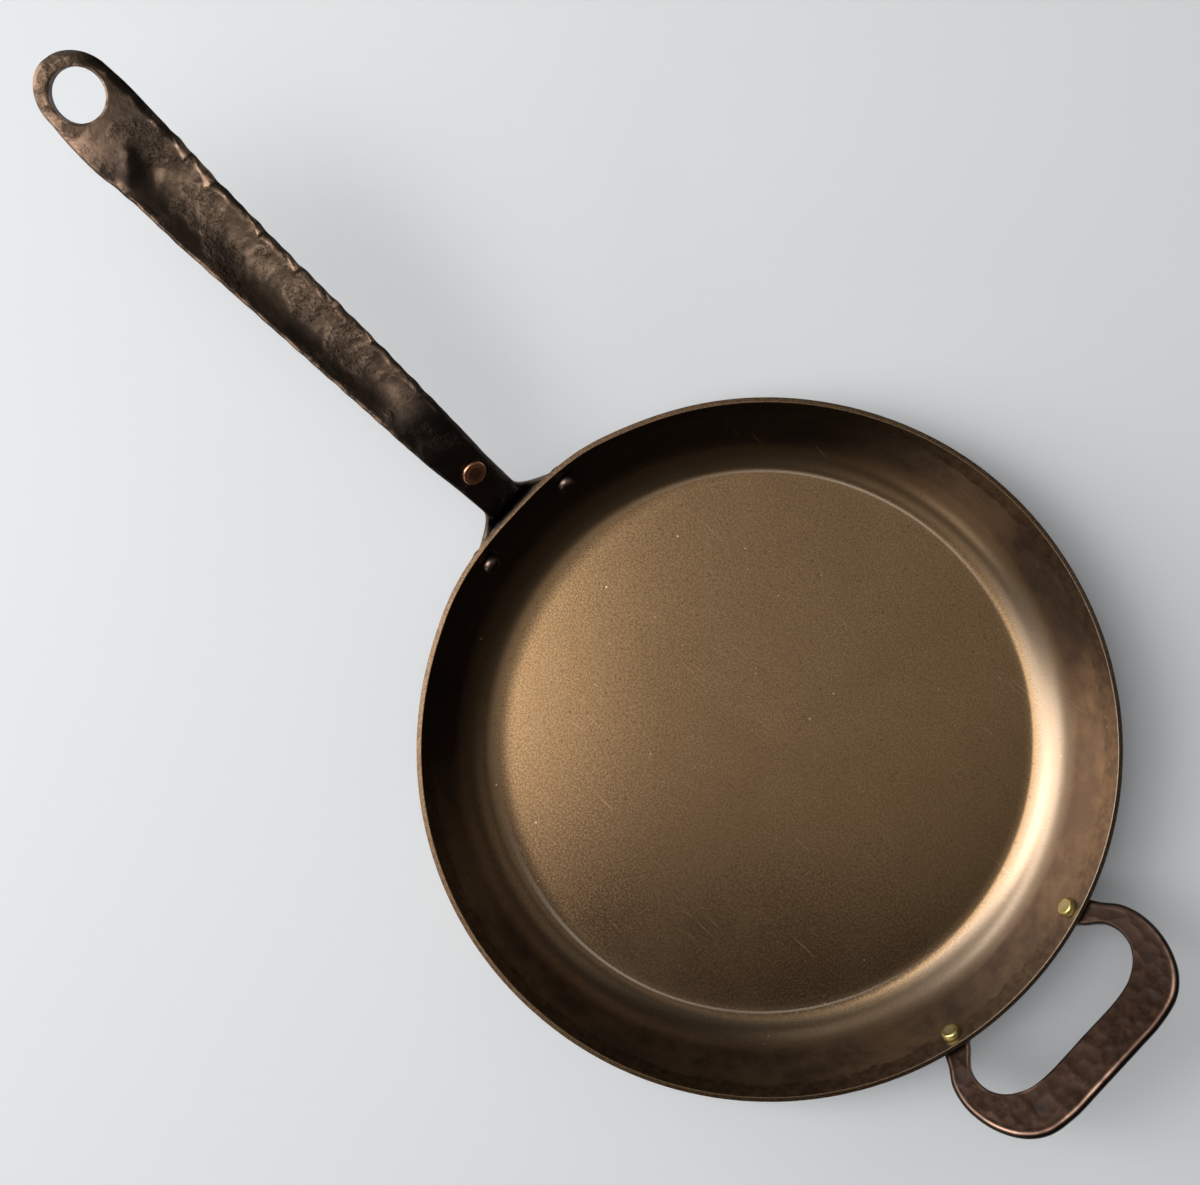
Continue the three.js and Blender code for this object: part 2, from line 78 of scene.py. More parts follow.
# Long handle
NECK_SLOPE = radians(43)
NECK_FOOT = (156.07, 38.42)
NECK_LENGTH = 42
NECK_THICKNESS = 4.5
BEND_RADIUS = 55
GRIP_SLOPE = radians(12)
EYE_SLOPE = radians(9)
GRIP_LENGTH = 191.2
GRIP_THICKNESS = 4.2
TROUGH_DEPTH = 3.8
TROUGH_SHIFT = 0.1
TROUGH_SHARE = 0.93
UNDER_SHARE = 0.85
EYE_THICKNESS = 6
EYE_LEFT = 15.4
EYE_RIGHT = 15.8
EYE_BORE_LENGTH = 22.4
EYE_BORE_WIDTH = 20.8
EYE_TIP_WALL = 7.1
EYE_SHEAR = 0.2
TIP_DRIFT = 2.7
HANDLE_EDGE = 1.2
CROWN_SIDE = 7
CROWN_FALL = 0.0062
FOLD_RISE = 0.6
SCALLOP_PITCH = 13
SCALLOP_START = 4
SCALLOP_DEPTH = 0.9
LEFT_LIP = 1.3
LEFT_LIP_DROP = 0.9
RIGHT_LIP = 2.6
RIGHT_LIP_DROP = 1.8
# Flaps on the right lip, each as the places where it starts and ends and its width
LIP_FLAPS = ((211, 199, 5.2), (199, 185, 6.4), (170, 158, 4.4), (148, 138, 4.6),
             (126, 117, 3.4), (104, 97, 2.8))
FLAP_RISE = 0.7
FLAP_STEP = 0.6
GRIP_MARK_PITCH = 5.4
GRIP_MARK_SQUASH = 0.8
KINK_PLACE = 208
DULL_RUN = (204, 214)
BEND_LENGTH = BEND_RADIUS * (NECK_SLOPE - GRIP_SLOPE)
GRIP_START = NECK_LENGTH + BEND_LENGTH
HANDLE_LENGTH = GRIP_START + GRIP_LENGTH
EYE_PLACE = HANDLE_LENGTH - EYE_TIP_WALL - EYE_BORE_LENGTH / 2
SHOULDER_PLACE = EYE_PLACE - 27
STRIP_END = EYE_PLACE - 18.5
# Half widths of the handle at places along it
LEFT_PLACES = (0, 10, 26, 42, 58, 82, 106, 130, 154, 178, 202, 210, 218, 226, 235, EYE_PLACE)
LEFT_WIDTHS = (9.3, 9.4, 10.0, 11.0, 11.5, 12.0, 12.7, 13.4, 14.2, 15.0, 15.3, 15.8, 16.7, 16.8,
               16.4, EYE_LEFT)
RIGHT_PLACES = (0, 18, 34, 50, 74, 98, 122, 146, 170, 186, 202, 218, 235, EYE_PLACE)
RIGHT_WIDTHS = (8.4, 8.5, 9.5, 10.1, 11.1, 12.1, 12.7, 13.1, 13.9, 14.4, 15.4, 15.9, 16.3, EYE_RIGHT)
# Where the hollow ends, from the right lip at -1 to the left lip at 1
HOLLOW_SIDES = (-1, -0.5, 0, 0.25, 0.5, 0.75, 1)
HOLLOW_ENDS = (221, 219, 214, 210, 206.5, 204.5, 206)
STRIP_ROWS = 400
STRIP_COLUMNS = 61
SHANK_STATIONS = 26
TIP_STATIONS = 91
EYE_RINGS = 25
BAND_ROWS = 6

# Bracket
BRACKET_THICKNESS = 3
# The plate's half thickness, the rounds of its edges and its steps across and round each corner
PLATE = (BRACKET_THICKNESS / 2, 0.9, 0.9, 14, 5)
FLANGE_HALF_WIDTH = 33
FLANGE_END = 0.6
FLANGE_MIDDLE = 15.2
FLANGE_DROP = 2.4
FLANGE_HALF_LENGTH = 10.6
FLANGE_TAPER = 3.0
FLANGE_TAPER_RUN = (8, 26)
FLANGE_LEAST = 1.6
FLANGE_BEND = 153.0
TANG_HALF_WIDTH = 9.2
TANG_FLARE = 16.3
TANG_FLARE_REACH = 13
TANG_START = -5.5
TANG_END = 44.5
TANG_ROOT = 4.1
TANG_CURVE_REACH = 14
VOXEL = 0.4

# Helper handle
HELPER_TURN = radians(180.45)
HELPER_RISE = radians(32)
HELPER_THICKNESS = 5.5
HELPER_ROOT_DEPTH = 1.5
FOOT_THICKNESS = 4
FOOT_HALF_WIDTH = 6.2
FOOT_END_DEPTH = 17.5
FOOT_END_TURN = 1.48
FOOT_BEND_RADIUS = 7
THICKENING = 14
STRAP_REACH = 100.0
WRAP_LIMIT = 60
HELPER_OUTER_EDGE = 2.6
HELPER_INNER_EDGE = 1.2
HELPER_MARK_PITCH = 6.2
HELPER_MARK_DRIFT = 2.2
EDGE_STATIONS = 130
# Paired points of the helper's edges from its middle to a foot, each as a distance out and sideways
HELPER_INNER = ((33.2, 0), (33.3, 10), (33.2, 20), (31.9, 29.5), (28.6, 36.6), (24.3, 41.2), (19.5, 43.6),
                (14.0, 44.2), (9.0, 42.9), (5.4, 40.0), (1.0, 35.4), (-7.0, 31.8))
HELPER_OUTER = ((53.0, 0), (53.0, 14), (52.8, 26), (50.6, 38), (45.3, 46.2), (37.5, 51.8), (28.0, 55.2),
                (17.5, 56.0), (8.5, 53.8), (2.5, 49.8), (-2.0, 46.4), (-7.0, 44.2))

# Rivets: a head is its radius, its height and its face's radius, and a tail is its radius and height.
STEEL_RIVET_DEPTH = 11
STEEL_RIVET_ANGLE = radians(9.55)
STEEL_HEAD = (4.6, 4.0, 2.9)
STEEL_TAIL = (3.6, 1.0)
BRASS_RIVET_DEPTH = 7
BRASS_RIVET_ANGLE = radians(14.65)
BRASS_HEAD = (4.25, 3.0, 3.3)
COPPER_RIVET_PLACE = 26.2
COPPER_HEAD = (5.5, 1.8, 4.5)
TAIL = (3.9, 1.7)
TAIL_LIFT = 0.1
HEAD_LIFT = 0.05
HEAD_DISH = 0.12
SHANK_RADIUS = 2.5
RIVET_COLUMNS = 64

# Colours of the sheet steel, with pairs for the two ends of a drift in tone
FLOOR_TONES = ((0.214, 0.127, 0.059), (0.24, 0.145, 0.07))
# Painted shade: the floor darkens towards one side, away from the light
FLOOR_SHADE_TONE = (0.058, 0.0315, 0.0145)
WALL_TONES = ((0.128, 0.085, 0.062), (0.305, 0.215, 0.131))
# Painted highlight: a paler tint for the cove on the side where the lights catch it
COVE_HIGHLIGHT_TINT = (0.285, 0.205, 0.13)
STAIN_TONES = ((0.088, 0.056, 0.038), (0.185, 0.122, 0.068))
# Painted shade: the wall towards the long handle, darkened almost to black
WALL_SHADE_TONE = (0.018, 0.0105, 0.0065)
GRAIN_SHADE = (0.018, 0.01, 0.0046)
DARK_SPECK = (0.07, 0.04, 0.021)
BRIGHT_SPECK = (0.62, 0.47, 0.33)
SCUFF = (0.42, 0.31, 0.21)
# Painted highlight: a pale line along stretches of the crease
CREASE_HIGHLIGHT = (0.5, 0.41, 0.33)
FILED_TONES = ((0.096, 0.058, 0.031), (0.188, 0.115, 0.06))
# Heights in the pan, in metres
FLOOR_LEVEL = 0.0025
CREASE_LEVEL = 0.00255
COVE_LEVEL = 0.0036
STAIN_LEVEL = 0.0285
# Directions over the pan: to its floor's painted shade, to its brightest cove and to its wall's painted
# shade
TO_FLOOR_SHADE = (-0.45, 0.89, 0.0)
TO_BRIGHT = (-0.866, -0.5, 0.0)
TO_WALL_SHADE = (0.99, -0.14, 0.0)

# Colours of the forgings and the helper
HANDLE_SCALE = ((0.024, 0.017, 0.013), (0.046, 0.033, 0.025))
# Painted light: the bracket's scale is much lighter than the handle's so that its lit flare edges show light
BRACKET_LIT_SCALE = ((0.13, 0.095, 0.075), (0.20, 0.15, 0.12))
POLISH_TONES = ((0.087, 0.057, 0.037), (0.157, 0.105, 0.069))
PIT_SHADE = (0.024, 0.016, 0.012)
# Painted shade: near black for the eye's hole and for the bracket behind the neck
PAINTED_SHADE = (0.008, 0.006, 0.007)
# Bright edges of the forgings: scuffing, with painted highlight where the edges face the light
WORN_AND_LIT_STEEL = (0.4, 0.255, 0.175)
STRAP_TONES = ((0.0135, 0.008, 0.0056), (0.0255, 0.0152, 0.0106))
STRAP_RUST = (0.034, 0.0178, 0.0112)
STRAP_UPPER = (0.052, 0.032, 0.024)
STRAP_SPOT = (0.034, 0.029, 0.029)
# Copper edges of the strap: scuffing and painted highlight
WORN_AND_LIT_STRAP = (0.48, 0.29, 0.21)
TO_UPPER_FOOT = (0.683, -0.730, 0.0)

# Rivet metals, each as a middle, a dark and a light colour and a roughness
RIVET_STEEL = ((0.036, 0.025, 0.019), (0.11, 0.076, 0.058), (0.21, 0.147, 0.115), 0.33)
BRASS = ((0.45, 0.40, 0.22), (0.46, 0.37, 0.12), (0.66, 0.55, 0.22), 0.34)
COPPER = ((0.16, 0.065, 0.04), (0.40, 0.16, 0.085), (0.62, 0.28, 0.16), 0.26)
DULL_MIDDLE = 0.14

# The stage, in metres
STAGE_REACH = 4.0
STAGE_LEVEL = -0.0002
STAGE_COLOUR = (0.58, 0.592, 0.603, 1)
# Three window panels and five fainter ones, each as its place, the point it faces, width, height and watts
LIGHTS = (
    ("window", (1.330539, 1.016778, 2.501657), (0.17975, -0.17375, 0), 1.8, 3.4, 85),
    ("bright pane", (1.655038, 0.992776, 2.221529), (0.3595, -0.3475, 0), 1.0, 1.0, 15),
    ("low window", (2.964545, 1.124499, 0.877115), (0.97065, -0.93825, 0), 3.8, 1.3, 73),
    ("skylight", (-0.45, 2.8, 1.03), (0, 0, 0), 0.3, 0.5, 5),
    ("side pane", (-0.28, 1.61, 2.52), (0, 0, 0), 1.5, 0.9, 2.2),
    ("end window", (2.46, -0.99, 1.41), (0, 0, 0), 2.6, 1.5, 8),
    ("room", (-0.85, -1.82, 2.23), (0, 0, 0), 1.6, 1.2, 2.4),
    ("ceiling", (0.9, -0.3, 3.0), (0.9, -0.3, 0), 3.65, 1.7, 10.4),
)
ROOM_COLOUR = (0.9, 0.95, 1.0, 1)
ROOM_STRENGTH = 0.05
CAMERA_PLACE = (0.09983, 0.00052, 0.8068)
CAMERA_TURN = radians(-136.9)
CAMERA_LENS = 53.04
SENSOR_WIDTH = 36.0


def ease(value, low, high):
    """0 below low, 1 above high, and between them the cubic t * t * (3 - 2 * t)."""
    t = np.clip((value - low) / (high - low), 0, 1)
    return t * t * (3 - 2 * t)


def smooth_through(stations, values, places):
    """A cubic curve through the given values, with each slope taken from its neighbours."""
    x = np.asarray(stations, float)
    y = np.asarray(values, float)
    slope = np.gradient(y, x)
    places = np.asarray(places, float)
    k = np.clip(np.searchsorted(x, places) - 1, 0, len(x) - 2)
    width = x[k + 1] - x[k]
    t = np.clip((places - x[k]) / width, 0, 1)
    rise = t * t * (3 - 2 * t)
    start = t * (1 - t) ** 2 * width * slope[k]
    end = t * t * (t - 1) * width * slope[k + 1]
    return y[k] + (y[k + 1] - y[k]) * rise + start + end


def bent_line(place, start, runs):
    """A line in the XZ plane made of arcs, each of a length and turning from one slope to another.
    An arc's chord is its length times sin(h)/h for half its turn h, at the middle slope."""
    x, z = start
    slope = runs[0][1]
    begun = 0.0
    for length, first, last in runs:
        run = np.clip(place - begun, 0, length)
        turned = first + (last - first) * run / length
        half = (turned - first) / 2
        chord = run * np.sinc(half / np.pi)
        x = x + chord * np.cos((first + turned) / 2)
        z = z + chord * np.sin((first + turned) / 2)
        slope = np.where(place > begun, turned, slope)
        begun += length
    return x, z, slope


def bowls(u, v, seed_u, seed_v, sharpness, offset):
    """Hammer marks: each seed cuts a round bowl whose height grows with the square of the distance.
    The lowest bowl wins at each point, so neighbours meet in a ridge."""
    lowest = np.full(np.shape(u), np.inf)
    for su, sv, rise in zip(seed_u, seed_v, offset):
        lowest = np.minimum(lowest, sharpness * ((u - su) ** 2 + (v - sv) ** 2) + rise)
    return lowest


def hump(value, centre, width, power=2):
    """A bell curve: 1 at the centre, falling off with a power of the distance from it."""
    return np.exp(-(((value - centre) / width) ** power))


def bell(angle, centre, width, power=2):
    """A bell curve round the circle, in the angle away from its centre."""
    return hump(np.abs(np.angle(np.exp(1j * (angle - centre)))), 0, width, power)


def grid_faces(ids, closed=False):
    """Quads between neighbouring rows and columns of a table of vertex numbers."""
    if closed:
        ids = np.hstack([ids, ids[:, :1]])
    corners = (ids[:-1, :-1], ids[1:, :-1], ids[1:, 1:], ids[:-1, 1:])
    return np.stack([c.ravel() for c in corners], axis=1)


def ring_faces(rings, first=0):
    """Quads along closed rings of points, numbered from a first one, with a face over each end."""
    ids = first + np.arange(rings[..., 0].size).reshape(rings.shape[:2])
    faces = grid_faces(ids, closed=True).tolist()
    return faces + [ids[0].tolist(), ids[-1, ::-1].tolist()]


def rounded_section(half_width, half_height, far_round, near_round, across_steps, corner_steps):
    """A rectangle with round corners, as rows of points for arrays of half sizes.
    Each corner is a quarter circle. The far side and the near side have their own rounds."""
    quarter = np.linspace(0, np.pi / 2, corner_steps)
    share = np.linspace(0, 1, across_steps + 2)[1:-1]
    sizes = np.broadcast_arrays(half_width, half_height, far_round, near_round)
    half_width, half_height, far, near = (np.asarray(v, float)[:, None] for v in sizes)
    cosine, sine = np.cos(quarter), np.sin(quarter)
    top = (half_width - far) * (1 - share) + (near - half_width) * share
    flat = half_height + 0 * top
    sides = [
        (half_width - far + far * cosine, half_height - far + far * sine),
        (top, flat),
        (near - half_width - near * sine, half_height - near + near * cosine),
        (near - half_width - near * cosine, near - half_height - near * sine),
        (top[:, ::-1], -flat),
        (half_width - far + far * sine, far - half_height - far * cosine),
    ]
    return [np.hstack(rows) for rows in zip(*sides)]


def add_piece(name, points, faces, node, material, attributes=None):
    """A mesh piece from points in millimetres, its doubles merged and its faces turned outwards."""
    mesh = bpy.data.meshes.new(name)
    mesh.from_pydata(np.asarray(points, float).reshape(-1, 3) * MM, [], faces)
    for label, values in (attributes or {}).items():
        layer = mesh.attributes.new(label, "FLOAT", "POINT")
        layer.data.foreach_set("value", np.asarray(values, np.float32).ravel())
    shape = bmesh.new()
    shape.from_mesh(mesh)
    bmesh.ops.remove_doubles(shape, verts=shape.verts, dist=MERGE_DISTANCE)
    bmesh.ops.dissolve_degenerate(shape, edges=shape.edges, dist=FLAT_DISTANCE)
    bmesh.ops.recalc_face_normals(shape, faces=shape.faces)
    shape.to_mesh(mesh)
    shape.free()
    mesh.shade_smooth()
    mesh.materials.append(material)
    piece = bpy.data.objects.new(name, mesh)
    bpy.context.scene.collection.objects.link(piece)
    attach(piece, "root")
    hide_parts(node)
    return piece


def rim_wave(angle):
    """How far the hammered rim stands out of round: low bulges, each a bell curve in angle."""
    return sum(height * bell(angle, centre, width) for centre, width, height in RIM_BULGES)


def turned_point(radius, height, angle):
    """A profile point turned about the pan's axis, with the rim's waves by the power 1.5 of its height."""
    share = np.clip((height - WAVE_START) / (PAN_HEIGHT - WAVE_START), 0, 1) ** 1.5
    reach = radius + rim_wave(angle) * share
    return np.stack([reach * np.cos(angle), reach * np.sin(angle), height + 0 * reach], axis=-1)


def wall_profile(depth, outside):
    """Radius and height at a depth down the wall from the rim and a distance outside its inner face."""
    radius = RIM_BORE_RADIUS - depth * WALL_UP[0] + outside * WALL_OUT[0]
    height = PAN_HEIGHT - depth * WALL_UP[1] + outside * WALL_OUT[1]
    return radius, height


def wall_point(depth, outside, angle):
    """The wall's point at a depth and a distance outside, turned to an angle."""
    return turned_point(*wall_profile(depth, outside), angle)


def pan_contour(outside, angle, floor_rows):
    """The pan's contour at a distance outside its inner face, as tables of radius and height: floor, crease,
    cove and wall. The crease rises with the cube of the distance and is longer towards the handle. The
    cove's radius is the one that leaves the crease and meets the wall without a kink."""
    crease = CREASE_LENGTH + SOFT_LENGTH * bell(angle, SOFT_SIDE, SOFT_REACH, 4)
    flat = CREASE_END - crease
    crease_end = CREASE_END, SHEET + crease * tan(CREASE_TURN) / 3
    gap = RIM_BORE_RADIUS - crease_end[0], PAN_HEIGHT - crease_end[1]
    sweep = sin(WALL_SLOPE) - sin(CREASE_TURN), cos(CREASE_TURN) - cos(WALL_SLOPE)
    cove = (gap[0] * WALL_UP[1] - gap[1] * WALL_UP[0]) / (sweep[0] * WALL_UP[1] - sweep[1] * WALL_UP[0])
    middle = crease_end[0] - cove * sin(CREASE_TURN), crease_end[1] + cove * cos(CREASE_TURN)
    share = np.linspace(0, 1, floor_rows)[:-1, None] ** 0.7
    run = np.linspace(0, 1, CREASE_ROWS)[:, None]
    turn = np.arctan(tan(CREASE_TURN) * run ** 2)
    bend = np.linspace(CREASE_TURN, WALL_SLOPE, COVE_ROWS)[1:, None]
    rise = np.linspace(0, 1, WALL_ROWS)[1:, None]
    wall_end = wall_profile(RIM_ROUND, outside)
    arc = middle[0] + (cove + outside) * np.sin(bend), middle[1] - (cove + outside) * np.cos(bend)
    parts = (
        (share * flat, SHEET - outside + 0 * share * flat),
        (flat + crease * run + outside * np.sin(turn),
         SHEET + crease * tan(CREASE_TURN) * run ** 3 / 3 - outside * np.cos(turn)),
        arc,
        [bow[-1] + rise * (end - bow[-1]) for bow, end in zip(arc, wall_end)],
    )
    return [np.vstack(rows) for rows in zip(*parts)]


def make_pan(material):
    """Inner contour, a rim face square to the wall with two small rounds, and the outer contour back, turned
    about the pan's axis. Marks are kept for the rim, faded behind the neck as painted shade, and for a
    painted highlight along stretches of the crease."""
    angle = np.linspace(0, 2 * np.pi, PAN_COLUMNS, endpoint=False)
    quarter = np.linspace(0, np.pi / 2, 6)[:, None]
    depth = RIM_ROUND * (1 - np.sin(quarter)) + 0 * angle
    inset = RIM_ROUND * (1 - np.cos(quarter))
    inner_round = [v[1:] for v in wall_profile(depth, inset)]
    outer_round = [v[:0:-1] for v in wall_profile(depth, SHEET - inset)]
    inside = pan_contour(0, angle, FLOOR_ROWS)
    outside = pan_contour(SHEET, angle, UNDER_ROWS)
    rows = zip(inside, inner_round, outer_round, (v[::-1] for v in outside))
    radius, height = (np.vstack(parts) for parts in rows)
    # Painted shade of the neck: the rim's filed mark fades on its outer half behind the neck
    lit = 1 - bell(angle, 0, NECK_SHADE, 4)
    rim = np.vstack([0 * inside[0], 1 + 0 * inner_round[0], lit + 0 * outer_round[0], 0 * outside[0]])
    # Painted highlight: a pale line along stretches of the crease
    bright_share = np.zeros(radius.shape)
    bright_share[FLOOR_ROWS + CREASE_HIGHLIGHT_ROWS[0]:FLOOR_ROWS + CREASE_HIGHLIGHT_ROWS[1]] = sum(
        strength * bell(angle, radians(centre), radians(width))
        for centre, width, strength in CREASE_HIGHLIGHT_STRETCHES)
    points = turned_point(radius, height, angle)
    faces = grid_faces(np.arange(radius.size).reshape(radius.shape), closed=True)
    marks = {"edge": rim, "crease": bright_share}
    add_piece("pan", points, faces, "pan_body", material, marks)


def handle_line(place):
    """The long handle's centre line and the direction out of its top face. The line drifts sideways with the
    cube of the distance."""
    runs = ((NECK_LENGTH, NECK_SLOPE, NECK_SLOPE), (BEND_LENGTH, NECK_SLOPE, GRIP_SLOPE),
            (GRIP_LENGTH, GRIP_SLOPE, EYE_SLOPE))
    x, z, slope = bent_line(place, NECK_FOOT, runs)
    drift = -TIP_DRIFT * (place / HANDLE_LENGTH) ** 3
    up = np.stack([-np.sin(slope), 0 * slope, np.cos(slope)], axis=-1)
    return np.stack([x, drift, z], axis=-1), up


def handle_half_width(place, left):
    """The handle's half width on one side: a smooth curve through its stations, with two sine waves."""
    left_width = smooth_through(LEFT_PLACES, LEFT_WIDTHS, place)
    right_width = smooth_through(RIGHT_PLACES, RIGHT_WIDTHS, place)
    ripple = np.where(left, 0.08, 0.16) * (np.sin(place * 0.71) + 0.8 * np.sin(place * 0.43 + 1.0))
    on_grip = ease(place, 30, 80)
    before_eye = ease(-place, -225, -205)
    return np.where(left, left_width, right_width) + ripple * on_grip * before_eye


def lip_flaps(place, to_outline):
    """Flaps folded in over the right lip: each widens evenly towards the neck and ends in a step."""
    most = np.zeros(np.shape(place))
    for start, end, width in LIP_FLAPS:
        grown = np.clip((start - place) / (start - end), 0, 1) * ease(place, end - FLAP_STEP, end)
        most = np.maximum(most, ease(width * grown - to_outline, 0, FLAP_STEP) * np.sqrt(grown))
    return most


def round_fall(distance):
    """How far a rounded edge falls: a quarter circle in the distance from the edge."""
    share = 1 - np.minimum(distance, HANDLE_EDGE) / HANDLE_EDGE
    return HANDLE_EDGE * (1 - np.sqrt(1 - share ** 2))


def handle_heights(place, across):
    """Top and bottom heights of the handle over its plan, and how bright and polished each point is: a flat
    bar, sunk along the grip by a trough with hammered bowls and crowned at the eye. Its right lip is cut in
    scallops, which are arches along it, and its left lip and the hole are rounded. The bright mark is partly
    scuffing and partly a painted highlight on the lit left lip, the lip's chipped facets and the eye's pad."""
    width = handle_half_width(np.minimum(place, EYE_PLACE), across >= 0)
    ahead = np.maximum(place - EYE_PLACE, 0) / (HANDLE_LENGTH - EYE_PLACE)
    share = np.hypot(across / width, ahead)
    lean = np.clip(across / width, -1, 1)
    to_outline = np.clip(np.minimum((1 - share) * width, place), 0, None)
    bore = np.hypot((place - EYE_PLACE) / (EYE_BORE_LENGTH / 2), across / (EYE_BORE_WIDTH / 2))
    to_bore = np.clip((bore - 1) * EYE_BORE_WIDTH / 2, 0, None)
    grip = NECK_THICKNESS + (GRIP_THICKNESS - NECK_THICKNESS) * ease(place, NECK_LENGTH, GRIP_START)
    shoulder = smooth_through(HOLLOW_SIDES, HOLLOW_ENDS, lean)
    eye = ease(place, SHOULDER_PLACE - 9, EYE_PLACE)
    half = (grip + (EYE_THICKNESS - grip) * eye) / 2

    # The trough, its hammer marks, the crown of the eye and the fold between them
    opening = ease(place, GRIP_START - 12, GRIP_START + 18)
    slow = 15 * ease(-lean, -0.15, 0.6)
    closing = ease(place, shoulder - 9 - slow, shoulder + 5)
    trough = opening * (1 - closing)
    tilted = np.abs(lean - TROUGH_SHIFT * (1 - lean ** 2))
    hollow = np.clip(1 - (tilted / TROUGH_SHARE) ** 2, 0, 1) ** 1.15
    sink = TROUGH_DEPTH * trough * hollow
    rng = np.random.default_rng(11)
    seeds = np.arange(GRIP_START - 4, SHOULDER_PLACE, GRIP_MARK_PITCH)
    seeds = seeds + rng.uniform(-3, 3, len(seeds))
    sideways = rng.uniform(-9, 4, len(seeds)) * GRIP_MARK_SQUASH
    marks = bowls(place, across * GRIP_MARK_SQUASH, seeds, sideways, 0.010, rng.uniform(0, 0.35, len(seeds)))
    marks = (np.clip(marks, 0, 0.7) - 0.3) * trough * ease(1 - share, 0.08, 0.4)
    crown = eye * CROWN_FALL * (across - CROWN_SIDE) ** 2
    fold = FOLD_RISE * opening * hump(place - shoulder, 5, 4) * (1 - share ** 4)
    fold = fold * ease(lean, -0.4, 0.3)

    # The lips and the rounded edges
    right = ease(-lean, -0.1, 0.1)
    arch = np.abs(np.sin(np.pi * (place + SCALLOP_START) / SCALLOP_PITCH)) ** 0.8
    lip = LEFT_LIP + (RIGHT_LIP + SCALLOP_DEPTH * arch * opening - LEFT_LIP) * right
    drop = LEFT_LIP_DROP + (RIGHT_LIP_DROP - LEFT_LIP_DROP) * right
    outline_fall = drop * (1 - np.clip(to_outline / lip, 0, 1)) ** 1.6
    bore_fall = round_fall(to_bore)
    flaps = lip_flaps(place, to_outline) * right
    top = half - sink + marks + fold - crown - outline_fall - bore_fall + FLAP_RISE * flaps * trough
    bottom = -half - UNDER_SHARE * sink + 0.3 * crown + round_fall(to_outline) + bore_fall

    # Where the metal is bright from scuffing, with a painted highlight on its lit left lip, chipped facets
    # and eye pad, and where hands polish it brown
    bright_share = ease(place, NECK_LENGTH, GRIP_START + 10)
    # Painted highlight along the lit left lip, partly scuffing
    left_lip_wear_and_highlight = 0.62 * (1 - right) * (1 - ease(to_outline, 0.8, 2.4))
    chip_wear_and_highlight = right * hump(to_outline, lip, 0.55) * (1 - arch) ** 1.5
    bore_wear = 0.7 * (1 - ease(to_bore, 0.2, 1.4))
    pad_wear_and_highlight = 0.7 * eye * ease(lean, 0.0, 0.9)
    kink = hump(place, KINK_PLACE, 3.5) * ease(lean, 0.7, 0.95)
    wear_and_highlight = np.maximum.reduce([left_lip_wear_and_highlight, chip_wear_and_highlight, 0.65 * flaps, bore_wear, pad_wear_and_highlight, kink]) * bright_share
    pad = 0.9 * eye * ease(lean, -1.4, 0.2)
    dulled = 1 - 0.6 * ease(place, *DULL_RUN)
    polish = np.maximum(trough * dulled * (0.27 + 0.28 * ease(-lean, -0.4, 0.3)), pad)
    return top, bottom, wear_and_highlight, polish


def handle_plan():
    """The handle's plan as a grid along the neck and grip, joined to rings of points round the eye's hole:
    distances along and across, the faces, and the loops of points at the outline and the hole."""
    rows, columns = STRIP_ROWS, STRIP_COLUMNS
    along_strip = np.linspace(0, STRIP_END, rows)
    side = np.sin(np.linspace(-np.pi / 2, np.pi / 2, columns))
    strip_along, strip_side = np.meshgrid(along_strip, side, indexing="ij")
    strip_across = strip_side * handle_half_width(strip_along, strip_side >= 0)
    shank = np.linspace(STRIP_END, EYE_PLACE, SHANK_STATIONS)[1:-1]
    turn = np.linspace(np.pi / 2, -np.pi / 2, TIP_STATIONS)
    tip_along = EYE_PLACE + (HANDLE_LENGTH - EYE_PLACE) * np.cos(turn)
    tip_across = np.where(turn > 0, EYE_LEFT, EYE_RIGHT) * np.sin(turn)
    shank_left = handle_half_width(shank, True)
    shank_right = -handle_half_width(shank, False)[::-1]
    outline_along = np.hstack([strip_along[-1], shank, tip_along, shank[::-1]])
    outline_across = np.hstack([strip_across[-1], shank_left, tip_across, shank_right])
    direction = np.arctan2(outline_across / EYE_BORE_WIDTH, (outline_along - EYE_PLACE) / EYE_BORE_LENGTH)
    bore_along = EYE_PLACE + EYE_BORE_LENGTH / 2 * np.cos(direction)
    bore_across = EYE_BORE_WIDTH / 2 * np.sin(direction)
    inward = ((1 - np.cos(np.linspace(0, np.pi, EYE_RINGS))) / 2)[:, None]
    ring_along = outline_along + (bore_along - outline_along) * inward
    ring_across = outline_across + (bore_across - outline_across) * inward
    strip_ids = np.arange(rows * columns).reshape(rows, columns)
    ring_ids = np.full(ring_along.shape, -1)
    ring_ids[0, :columns] = strip_ids[-1]
    fresh = ring_ids < 0
    ring_ids[fresh] = rows * columns + np.arange(fresh.sum())
    place = np.hstack([strip_along.ravel(), ring_along[fresh]])
    across = np.hstack([strip_across.ravel(), ring_across[fresh]])
    faces = np.vstack([grid_faces(strip_ids), grid_faces(ring_ids, closed=True)])
    outline = np.hstack([strip_ids[:, -1], ring_ids[0, columns:], strip_ids[::-1, 0], strip_ids[0, 1:-1]])
    return place, across, faces, (outline, ring_ids[-1])


